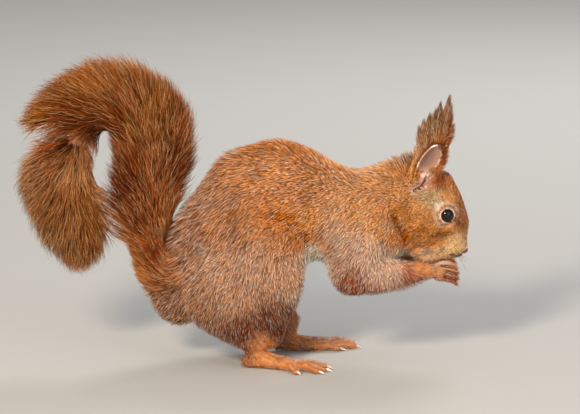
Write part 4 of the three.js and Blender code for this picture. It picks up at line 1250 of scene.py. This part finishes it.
def hairRings(along, normal, width, girth):
    # the corners of three-sided hairs, ring by ring, and their tips; along(s) gives the hairs' middles
    rings = []
    for j, share in enumerate(girth):
        s = j / len(girth)
        middle = along(s)
        ahead = unit(along(s + 0.5 / len(girth)) - middle)
        across = unit(np.cross(normal, ahead))
        up = np.cross(ahead, across)
        for angle in np.radians((90, 210, 330)):
            offset = across * math.cos(angle) + up * (0.7 * math.sin(angle))
            rings.append(middle + offset * (width * share / 2)[:, None])
    rings.append(along(1.0))
    return np.stack(rings, 1)


def growHairs(found, size):
    # the points of every hair, ring by ring, and their colours
    segments = size["segments"]
    root, normal, values = found["root"], found["normal"], found["values"]
    count = len(root)
    way = values[:, :3]
    way = unit(way - normal * (way * normal).sum(1, keepdims=True))
    side = np.cross(normal, way)
    length = size["scale"] * values[:, 3] * rng.uniform(0.72, 1.18, count) * nearEye(root)
    width = size["wide"] * values[:, 4] * rng.uniform(0.75, 1.2, count)
    depth = found["depth"] * rng.uniform(0.7, 1.12, count)
    stray = rng.uniform(0, 1, count) < size["stray"]
    aimed = found["depth"] * rng.uniform(*size["tips"], count) + np.where(stray, length * 0.16, 0)
    swing = rng.normal(0, size["loose"], count) + 0.12 * ripple(root, 9, 21)
    way = unit(way + side * swing[:, None])
    side = np.cross(normal, way)
    depth, reach = toOutline(root, way, normal, depth, length, aimed, found["depth"], size["raiseOnly"])
    tip = root + way * reach[:, None] + normal * depth[:, None]
    centre = clumpCentres(root, size["clump"], size["area"])
    pull = size["pull"] * rng.uniform(0.3, 1.3, count)
    lean = (tip[centre] - tip) * pull[:, None]
    lean *= np.minimum(1, 1.6 * size["clump"] / np.maximum(np.linalg.norm(lean, axis=1), 1e-6))[:, None]
    sway = rng.normal(0, 0.05, count) * length

    def along(s):
        rise = depth * (1 - (1 - s) ** 1.6) - hairSizes["sink"] * (1 - s)
        return (root + way * (reach * s)[:, None] + normal * rise[:, None] + lean * s ** 1.5
                + side * (sway * math.sin(math.pi * s))[:, None])

    points = hairRings(along, normal, width, hairSizes["girth"][segments])
    # a hair that would stand far out of the coat is shorter, and none goes below the floor
    if not size["raiseOnly"]:
        over = np.maximum(sampled(outline, points[:, -1]) - size["farthest"], 0)
        shorter = np.clip(1 - 1.2 * over / length, 0.3, 1)
        points = root[:, None] + (points - root[:, None]) * shorter[:, None, None]
    points[..., 2] = np.maximum(points[..., 2], hairSizes["floor"])
    return points, hairColours(coatColour(root, values), values[:, 8], centre, size)


def hairColours(base, share, centre, size):
    # the colours of every hair, ring by ring, from the coat's colour and the share of pale tips at its root
    count, segments = len(base), size["segments"]
    # where more tips are pale, the hairs differ more and their roots are darker with painted shade
    tint = rng.normal(0, size["tint"][0], count) + rng.normal(0, size["tint"][1], count)[centre]
    base = base * np.clip(1 + tint * (1 + 1.3 * share), 0.35, 1.9)[:, None]
    dark = rng.uniform(0, 1, count) < 0.08 + 0.25 * share
    base = base * np.where(dark, 0.5, 1)[:, None]
    warmth = rng.normal(0, 0.05, count)
    base = base * np.stack([1 + warmth, np.ones(count), 1 - warmth], 1)
    # pale tips: partly the hair's own, partly painted highlight of light shining through the hair
    pale = rng.uniform(0, 1, count) < share
    tipColour = base * 1.32 * np.where(pale, 1, 1 - 0.2 * share)[:, None]
    tipColour = mixed(tipColour, size["pale"], np.where(pale, 0.9, 0.02))
    # painted shade towards the root, deep in the coat, darker where more tips are pale
    rootColour = base * (0.42 - 0.20 * share)[:, None]
    steps = np.linspace(0, 1, segments + 1)
    shades = []
    for j, s in enumerate(steps):
        shade = rootColour + (base - rootColour) * smoothStep(0, 0.45, s)
        toTip = np.where(pale, smoothStep(0.1, 0.9, s), smoothStep(0.45, 1.0, s))
        shade = shade + (tipColour - shade) * toTip[:, None]
        shades += [shade] * (3 if j < segments else 1)
    return np.clip(np.stack(shades, 1), 0, 1)


def tuftPiece(name, points, colours, uv, segments, slot, *nodes):
    # one mesh of many hairs, each with its own patch of the map at its root's place
    faces, places = tuftTemplate(segments)
    count, per = points.shape[:2]
    every = (faces[None] + (np.arange(count) * per)[:, None, None]).reshape(-1, 3)
    piece = makePiece(name, points.reshape(-1, 3), every, hair)
    paint(piece.data, colours.reshape(-1, 3))
    corners = uv[:, None, None, :] + (places[None] - 0.5) * hairSizes["patch"]
    layer = piece.data.uv_layers.new(name="OFBake")
    layer.data.foreach_set("uv", corners.astype(np.float32).ravel())
    placePiece(piece, slot, *nodes)


def growCoat(name, size):
    # one kind of coat, in as many pieces as its triangles need
    found = scatter(size["kinds"], size["tufts"])
    points, colours = growHairs(found, size)
    faces, _ = tuftTemplate(size["segments"])
    parts = math.ceil(size["tufts"] * len(faces) / hairSizes["most"])
    for part in range(parts):
        own = slice(part, None, parts)
        piece = "coat_%s_%d" % (name, part + 1)
        tuftPiece(piece, points[own], colours[own], found["uv"][own], size["segments"], size["slot"])
    print("coat", name, size["tufts"], "tufts in", parts, "pieces")


def hairMaterial():
    # keratin hair: a soft streak of light along each tuft, and pigment that comes and goes along it; its
    # bands are drawn wider than a real hair's, so that they show
    made, tree, shader = material("keratin guard hair", 0.5, IOR=1.55, Specular_IOR_Level=0.2)
    place = addNode(tree, "ShaderNodeTexCoord")
    pigment = {"Scale": grainScale(1.4), "Detail": 2.0}
    noise = addNode(tree, "ShaderNodeTexNoise", pigment, Vector=place.outputs["Object"])
    value = addNode(tree, "ShaderNodeMapRange", {"To Min": 0.72, "To Max": 1.28}, Value=noise.outputs["Fac"])
    colour = addNode(tree, "ShaderNodeAttribute", {"attribute_name": "coat"})
    shade = addNode(tree, "ShaderNodeHueSaturation", {"Saturation": 1.05}, Color=colour.outputs["Color"],
                    Value=value.outputs["Result"])
    tree.links.new(shade.outputs["Color"], shader.inputs["Base Color"])
    return made


def skinMaterial():
    # hide under short underfur: matt, with the roughness of cropped hair, drawn coarser so that it shows
    made, tree, shader = material("hide with underfur", 0.6, IOR=1.45)
    colour = addNode(tree, "ShaderNodeAttribute", {"attribute_name": "coat"})
    tree.links.new(colour.outputs["Color"], shader.inputs["Base Color"])
    place = addNode(tree, "ShaderNodeTexCoord")
    cropped = {"Scale": grainScale(0.7), "Detail": 3.0}
    noise = addNode(tree, "ShaderNodeTexNoise", cropped, Vector=place.outputs["Object"])
    relief = {"Strength": 0.35, "Distance": 0.3 * mm}
    bump = addNode(tree, "ShaderNodeBump", relief, Height=noise.outputs["Fac"])
    tree.links.new(bump.outputs["Normal"], shader.inputs["Normal"])
    return made


skin.data.materials.append(skinMaterial())
paint(skin.data, skinColour(skinCo, skinValues))
carvedNodes = [part + name for part in ("ear_", "hand_", "hind_foot_") for name, _ in rightAndLeft]
placePiece(skin, "body_coat", *fleshNodes, *carvedNodes)

print("growing the coat")
triKind = nearestKind(triMiddle)
hair = hairMaterial()
for name, size in coatPieces.items():
    growCoat(name, size)


def tube(path, radii, sides=8, flat=1.0, up=(0, 0, 1)):
    # a closed tapering tube along points: its corners and triangles
    path, radii = np.asarray(path, float), np.asarray(radii, float)
    ahead = unit(np.gradient(path, axis=0))
    across = unit(np.cross(np.broadcast_to(up, ahead.shape), ahead))
    rise = np.cross(ahead, across)
    turn = (np.arange(sides) * 2 * math.pi / sides)[None, :, None]
    ring = across[:, None] * np.cos(turn) + rise[:, None] * (flat * np.sin(turn))
    points = (path[:, None] + ring * radii[:, None, None]).reshape(-1, 3)
    count = len(path)
    faces = []
    for i in range(count - 1):
        for k in range(sides):
            a, b = i * sides + k, i * sides + (k + 1) % sides
            faces += [(a, b, b + sides), (a, b + sides, a + sides)]
    low, high = len(points), len(points) + 1
    points = np.concatenate([points, path[:1], path[-1:]])
    for k in range(sides):
        faces.append((low, (k + 1) % sides, k))
        last = (count - 1) * sides
        faces.append((high, last + k, last + (k + 1) % sides))
    return points, np.array(faces)


def joinParts(parts):
    # several meshes as one
    points, faces, count = [], [], 0
    for co, tris in parts:
        points.append(co)
        faces.append(tris + count)
        count += len(co)
    return np.concatenate(points), np.concatenate(faces)


def curve(a, b, c, steps):
    # a bend from a towards b and on to c
    t = np.linspace(0, 1, steps)[:, None]
    a, b, c = (np.asarray(v, float) for v in (a, b, c))
    return a * (1 - t) ** 2 + 2 * b * t * (1 - t) + c * t ** 2


def eyeMaterial():
    # wet cornea over a brown-black iris: a hard, small highlight
    made, tree, shader = material("wet cornea over a dark iris", 0.03, IOR=1.38)
    place = addNode(tree, "ShaderNodeTexCoord")
    noise = addNode(tree, "ShaderNodeTexNoise", {"Scale": grainScale(1.1)}, Vector=place.outputs["Object"])
    brown = {"stops": ((0, "#0a0504"), (1, "#23130b"))}
    ramp = addNode(tree, "ShaderNodeValToRGB", brown, Fac=noise.outputs["Fac"])
    tree.links.new(ramp.outputs["Color"], shader.inputs["Base Color"])
    return made


def lidMaterial():
    # the lid's bare margin: dark, damp skin, its fine grain drawn coarser so that it shows
    made, tree, shader = material("damp lid margin", 0.35, IOR=1.4)
    place = addNode(tree, "ShaderNodeTexCoord")
    noise = addNode(tree, "ShaderNodeTexNoise", {"Scale": grainScale(0.65)}, Vector=place.outputs["Object"])
    dark = {"stops": ((0, "#0c0706"), (1, "#2a1712"))}
    ramp = addNode(tree, "ShaderNodeValToRGB", dark, Fac=noise.outputs["Fac"])
    tree.links.new(ramp.outputs["Color"], shader.inputs["Base Color"])
    return made


def eyeball(eye, forward, up, out):
    # a ball whose cornea stands a little proud: its corners and triangles
    rings, sides = 40, 64
    radius, proud = eyeSizes["radius"], eyeSizes["cornea"]
    points = []
    for i in range(1, rings):
        angle = math.pi * i / rings
        bulge = 1 + proud * float(smoothStep(math.pi / 3, 0, angle))
        for k in range(sides):
            turn = 2 * math.pi * k / sides
            way = out * math.cos(angle) + (forward * math.cos(turn) - up * math.sin(turn)) * math.sin(angle)
            points.append(eye + way * radius * bulge)
    faces = []
    for i in range(rings - 2):
        for k in range(sides):
            a, b = i * sides + k, i * sides + (k + 1) % sides
            faces += [(a, a + sides, b + sides), (a, b + sides, b)]
    front, back, last = len(points), len(points) + 1, (rings - 2) * sides
    points += [eye + out * radius * (1 + proud), eye - out * radius]
    for k in range(sides):
        faces.append((front, k, (k + 1) % sides))
        faces.append((back, last + (k + 1) % sides, last + k))
    return np.array(points), np.array(faces)


def addEyes():
    look, lid = eyeMaterial(), lidMaterial()
    for name, side in rightAndLeft:
        forward, up, out = headAxes(side)
        margin = lidPath(side, eyeSizes["opening"] - eyeSizes["inset"])
        radii = np.full(eyeSizes["lidSteps"], eyeSizes["margin"])
        placePiece(makePiece("lid_margin_" + name, *tube(margin, radii, 8, 1.0, out), lid), "eye")
        tear = tube(tearPath(side), eyeSizes["tear"], 12, 0.45, out)
        placePiece(makePiece("tear_corner_" + name, *tear, lid), "eye")
        corners, faces = eyeball(eyeOn(side), forward, up * side, out)
        placePiece(makePiece("eyeball_" + name, corners, faces, look), "eye", "eye_" + name)


def clawMaterial():
    # horn: pale and softly shiny, its lengthwise streaks drawn coarser so that they show
    made, tree, shader = material("pale claw horn", 0.32, IOR=1.54, Specular_IOR_Level=0.5)
    place = addNode(tree, "ShaderNodeTexCoord")
    streaks = {"Scale": grainScale(2.0), "Detail": 2.0}
    noise = addNode(tree, "ShaderNodeTexNoise", streaks, Vector=place.outputs["Object"])
    pale = {"stops": ((0.35, "#cdb3a4"), (0.65, "#f6ece4"))}
    ramp = addNode(tree, "ShaderNodeValToRGB", pale, Fac=noise.outputs["Fac"])
    tree.links.new(ramp.outputs["Color"], shader.inputs["Base Color"])
    return made


def clawShape(root, ahead, size, thick=1.0):
    # a claw that rises a little, bends down to its tip and tapers most there
    ahead, rise = unit(ahead), np.array([0, 0, size["drop"]])
    radius = size["radius"] * thick
    taper = radius * np.array([0.9, 1.0, 0.98, 0.9, 0.78, 0.63, 0.46, 0.28, 0.08])
    middle = root + ahead * size["length"] * 0.6 + rise * 0.3
    tip = root + ahead * size["length"] - rise
    path = curve(root - ahead * radius * 1.5, middle, tip, len(taper))
    return tube(path, taper, 10, 1.25)


def addClaws():
    look = clawMaterial()
    for name, side in rightAndLeft:
        parts = []
        for (fx, fy), (tx, ty), thick in footSizes["toes"]:
            toe = footPlace(side, tx, ty, footSizes["clawHeight"])
            ahead = toe - footPlace(side, fx, fy, footSizes["clawHeight"])
            parts.append(clawShape(toe, ahead, footSizes["claw"], thick))
        placePiece(makePiece("foot_claws_" + name, *joinParts(parts), look), "foot")
        parts = []
        for i in range(len(handSizes["heights"])):
            path = fingerPath(side, i)
            ahead = path[3] - path[2] + np.array([0.5, 0, 0])
            parts.append(clawShape(path[3], ahead, handSizes["claw"]))
        placePiece(makePiece("hand_claws_" + name, *joinParts(parts), look), "foot")


def noseMaterial():
    # bare nose leather: pebbled grain, half damp
    made, tree, shader = material("damp nose leather", 0.38, IOR=1.42)
    place = addNode(tree, "ShaderNodeTexCoord")
    cells = addNode(tree, "ShaderNodeTexVoronoi", {"Scale": grainScale(0.31)}, Vector=place.outputs["Object"])
    pebbles = {"stops": ((0, "#9a6c54"), (1, "#4c2c20"))}
    ramp = addNode(tree, "ShaderNodeValToRGB", pebbles, Fac=cells.outputs["Distance"])
    tree.links.new(ramp.outputs["Color"], shader.inputs["Base Color"])
    relief = {"Strength": 0.5, "Distance": 0.2 * mm}
    bump = addNode(tree, "ShaderNodeBump", relief, Height=cells.outputs["Distance"])
    tree.links.new(bump.outputs["Normal"], shader.inputs["Normal"])
    return made


def addNose():
    # the bare pad, carved with its two nostrils and the groove between them
    step, room = 0.18, 12  # of the pad's own field, in mm
    low = onHead(27, 0, 0) - room / 2
    nothing = np.full((int(room / step),) * 3, 9.0, np.float32)  # far from any surface
    clayPad = Clay(nothing, low, step)
    axes = [headForward, headUp, (0, 1, 0)]
    clayPad.addBall(onHead(26.9, 0.7, 0), (2.0, 2.2, 2.6), 0.3, axes)
    for side in (-1, 1):
        clayPad.addBall(onHead(26.6, 0.6, 1.7 * side), (1.8, 1.7, 1.6), 0.6, axes)
        clayPad.cutLimb(onHead(29.2, 1.6, 2.2 * side), onHead(25.5, 1.1, 1.6 * side), 0.72, 0.6, 0.15)
        clayPad.cutLimb(onHead(27.8, 1.3, 2.6 * side), onHead(26.3, 1.9, 4.0 * side), 0.5, 0.35, 0.2)
    clayPad.cutLimb(onHead(29.2, 1.6, 0), onHead(28.3, -2.0, 0), 0.2, 0.35, 0.3)
    points, faces = meshFrom(clayPad.field, low, step)
    placePiece(makePiece("nose_pad", points, faces, noseMaterial()), "nose", "nose")


whiskerSizes = {
    "rows": [  # forward, up and out on the head, and the length
        ((18.5, -2.0, 6.6), 32), ((19.5, -3.6, 6.2), 36), ((17.0, -3.4, 7.6), 38), ((15.5, -1.8, 8.6), 34),
        ((18.0, -5.0, 6.6), 30), ((16.0, -5.0, 8.0), 36), ((21.0, -2.6, 5.0), 24), ((20.8, -4.6, 5.0), 22),
        ((4.0, 12.5, 11.5), 18), ((6.5, 12.0, 10.8), 15)],
    "radius": 0.11,  # at the root
    "steps": 14,  # places along one
}


def whiskerMaterial():
    # bristles: smooth, softly shiny keratin, dark brown with paler stretches
    made, tree, shader = material("bristle keratin", 0.3, IOR=1.55)
    place = addNode(tree, "ShaderNodeTexCoord")
    noise = addNode(tree, "ShaderNodeTexNoise", {"Scale": grainScale(8.0)}, Vector=place.outputs["Object"])
    brown = {"stops": ((0, "#20130c"), (1, "#5a4232"))}
    ramp = addNode(tree, "ShaderNodeValToRGB", brown, Fac=noise.outputs["Fac"])
    tree.links.new(ramp.outputs["Color"], shader.inputs["Base Color"])
    return made


def addWhiskers():
    look = whiskerMaterial()
    steps = whiskerSizes["steps"]
    for name, side in rightAndLeft:
        parts = []
        for (ahead, rise, out), length in whiskerSizes["rows"]:
            root = onHead(ahead, rise, out * side)
            lean, lift = (0.25, 0.55) if rise > 5 else (0.62, 0.10)  # over the eye, or on the muzzle
            way = headForward * lean + headUp * lift + np.array([0, side * 0.75, 0])
            way = unit(way + rng.normal(0, 0.10, 3))
            sag = -headForward * length * 0.22 + rng.normal(0, 1.2, 3)
            tip = root + way * length * 0.92 + sag
            path = curve(root - way * 1.2, root + way * length * 0.55, tip, steps)
            parts.append(tube(path, whiskerSizes["radius"] * np.linspace(1, 0.12, steps), 5))
        placePiece(makePiece("whiskers_" + name, *joinParts(parts), look), "body_coat")


# The ear tuft's locks: the tip's place, how many hairs, and their colour.
earLocks = [
    ((111.8, 17.0, 151.5), 200, "#93602e"), ((115.3, 17.0, 156.0), 300, "#93602e"),
    ((119.5, 17.0, 159.5), 380, "#8c5828"), ((123.2, 17.0, 162.0), 420, "#8c5828"),
    ((126.2, 17.2, 167.0), 460, "#80501f"), ((129.2, 17.2, 161.5), 480, "#864c20"),
    ((132.2, 17.2, 171.5), 520, "#8c4a20"), ((134.2, 17.0, 158.0), 320, "#95501f"),
]


earTuftSizes = {
    "spare": 5,  # roots tried for each one that is kept
    "loose": 2.5,  # how far from the line under its lock a root may be for that, in mm
    "wide": 0.40,  # width of a hair
    "girth": (0.9, 1.0, 0.7),  # along a hair
    "short": 20,  # how far below the lock's tip its shortest hairs could end
    "pale": 0.25,  # share of pale hairs
}


def earArea(side):
    # running total of the area where an ear's long hairs can stand: above its root, outside the bare hollow
    ear, upward, across, face = earFrame(side)
    d = triMiddle - ear
    high = smoothStep(3, 9, d @ upward + 0.55 * (d @ across))
    near = (np.abs(d @ face) < 8) & (np.abs(d @ across) < 10)
    hollow = inEar(triMiddle, triNormal, side) < 1
    return np.cumsum(triArea * high * near * np.where(hollow, 0, 1))


def growLock(lock, count, tone, total):
    # one lock's hairs: their points ring by ring, their colours, and their roots' places on the map
    size = earTuftSizes
    rise = unit([0.1, 0, 1])
    picks = np.searchsorted(total, rng.uniform(0, 1, count * size["spare"]) * total[-1])
    picks = np.minimum(picks, len(total) - 1)
    # of more roots than are wanted, those nearest to the line below the lock
    fromTip = triMiddle[picks] - lock
    off = np.linalg.norm(fromTip - np.outer(fromTip @ rise, rise), axis=1)
    off = off + rng.uniform(0, size["loose"], len(picks))
    picks = picks[np.argsort(off)[:count]]
    share = rng.dirichlet((1, 1, 1), count)[:, :, None]
    root = (triCorner[picks] * share).sum(1)
    out = unit((skinNormal[skinTris[picks]] * share).sum(1))
    reach = rng.uniform(0.45, 1.0, count) ** 0.8
    end = lock - rise * (1 + (1 - reach) * size["short"])[:, None]
    end += rng.normal(0, 1, (count, 3)) * (0.4 + 1.8 * (1 - reach))[:, None]
    span = np.linalg.norm(end - root, axis=1)
    bend = root + rise * (span * 0.5)[:, None] + out * 1.2
    base = np.array(hexToLinear(tone)) * (1 + 0.25 * rng.normal(0, 1, count)).clip(0.4, 1.8)[:, None]
    pale = rng.uniform(0, 1, count) < size["pale"]
    base = mixed(base, "#e0d0bc", np.where(pale, 0.75, 0))

    def along(t):
        return root * (1 - t) ** 2 + 2 * bend * t * (1 - t) + end * t * t - out * (0.4 * (1 - t))

    points = hairRings(along, out, size["wide"] * rng.uniform(0.8, 1.2, count), size["girth"])
    # orange at the root, and lighter towards the tip
    shades = []
    segments = len(size["girth"])
    for j in range(segments + 1):
        s = j / segments
        orange = np.full(count, 0.7 * (1 - s) ** 2)
        shades += [mixed(base * (0.58 + 0.46 * s), "#ac6428", orange)] * (3 if j < segments else 1)
    return points, np.clip(np.stack(shades, 1), 0, 1), (skinUv[picks] * share).sum(1)


def addEarTufts():
    for name, side in rightAndLeft:
        total = earArea(side)
        locks = [growLock(at(x, y * side, z), count, tone, total) for (x, y, z), count, tone in earLocks]
        points, colours, uv = (np.concatenate(values) for values in zip(*locks))
        segments = len(earTuftSizes["girth"])
        tuftPiece("ear_tuft_locks_" + name, points, colours, uv, segments, "ear_tuft", "ear_tuft_" + name)


addEyes()
addClaws()
addNose()
addWhiskers()
addEarTufts()
print("eyes, claws, nose, whiskers and ear tufts made")


cameraSizes = {
    "elevation": 10.0,  # degrees above level
    "distance": 3000.0,  # mm from the aim
    "width": 371.0,  # mm across the picture at the aim
    "aim": (29.4, 0, 99.4),  # on the drawing
    "sensor": 36,  # its width in mm
}


def addCamera():
    size = cameraSizes
    tilt = math.radians(size["elevation"])
    aim = at(*size["aim"])
    place = aim + size["distance"] * np.array([0, -math.cos(tilt), math.sin(tilt)])
    data = bpy.data.cameras.new("camera")
    data.sensor_width = size["sensor"]
    data.lens = size["sensor"] * size["distance"] / size["width"]
    data.clip_start, data.clip_end = 0.1, 20  # in m
    camera = bpy.data.objects.new("camera", data)
    camera.location = Vector(place * mm)
    camera.rotation_euler = (math.pi / 2 - tilt, 0, 0)
    bpy.context.scene.collection.objects.link(camera)
    bpy.context.scene.camera = camera


def addLight(name, place, aim, size, power, colour):
    data = bpy.data.lights.new(name, "AREA")
    data.shape = "DISK"
    data.size = size
    data.energy = power
    data.color = hexToLinear(colour)
    light = bpy.data.objects.new(name, data)
    light.location = place
    light.rotation_euler = (Vector(aim) - Vector(place)).to_track_quat("-Z", "Y").to_euler()
    bpy.context.scene.collection.objects.link(light)


roomSizes = {
    "floor": 4000,  # half its width, in mm
    "lights": [  # name, place and aim in m, size in m, watts, colour
        ("key", (-0.55, -1.6, 0.95), (0, 0, 0.08), 0.4, 41, "#fff0dc"),
        ("fill", (1.1, -1.4, 0.7), (0, 0, 0.08), 1.2, 8, "#eef3ff"),
        ("back", (0.5, 1.3, 1.1), (0, 0, 0.1), 0.8, 12, "#ffffff")],
    "sky": "#e9ebee",
    "glow": 0.55,  # strength of the sky's light
}


def addRoom():
    # smooth card: matt and grey-white, so that it takes only the animal's shadow
    paper, _, shader = material("matte paper", 0.9)
    shader.inputs["Base Color"].default_value = (*hexToLinear("#bcbab5"), 1)
    half = roomSizes["floor"]
    corners = np.array([[-half, -half, 0], [half, -half, 0], [half, half, 0], [-half, half, 0]])
    makePiece("floor", corners, [[0, 1, 2, 3]], paper)
    for light in roomSizes["lights"]:
        addLight(*light)
    world = bpy.data.worlds.new("room")
    world.use_nodes = True
    sky = world.node_tree.nodes["Background"]
    sky.inputs["Color"].default_value = (*hexToLinear(roomSizes["sky"]), 1)
    sky.inputs["Strength"].default_value = roomSizes["glow"]
    bpy.context.scene.world = world
    bpy.context.scene.view_settings.view_transform = "Standard"


addRoom()
addCamera()
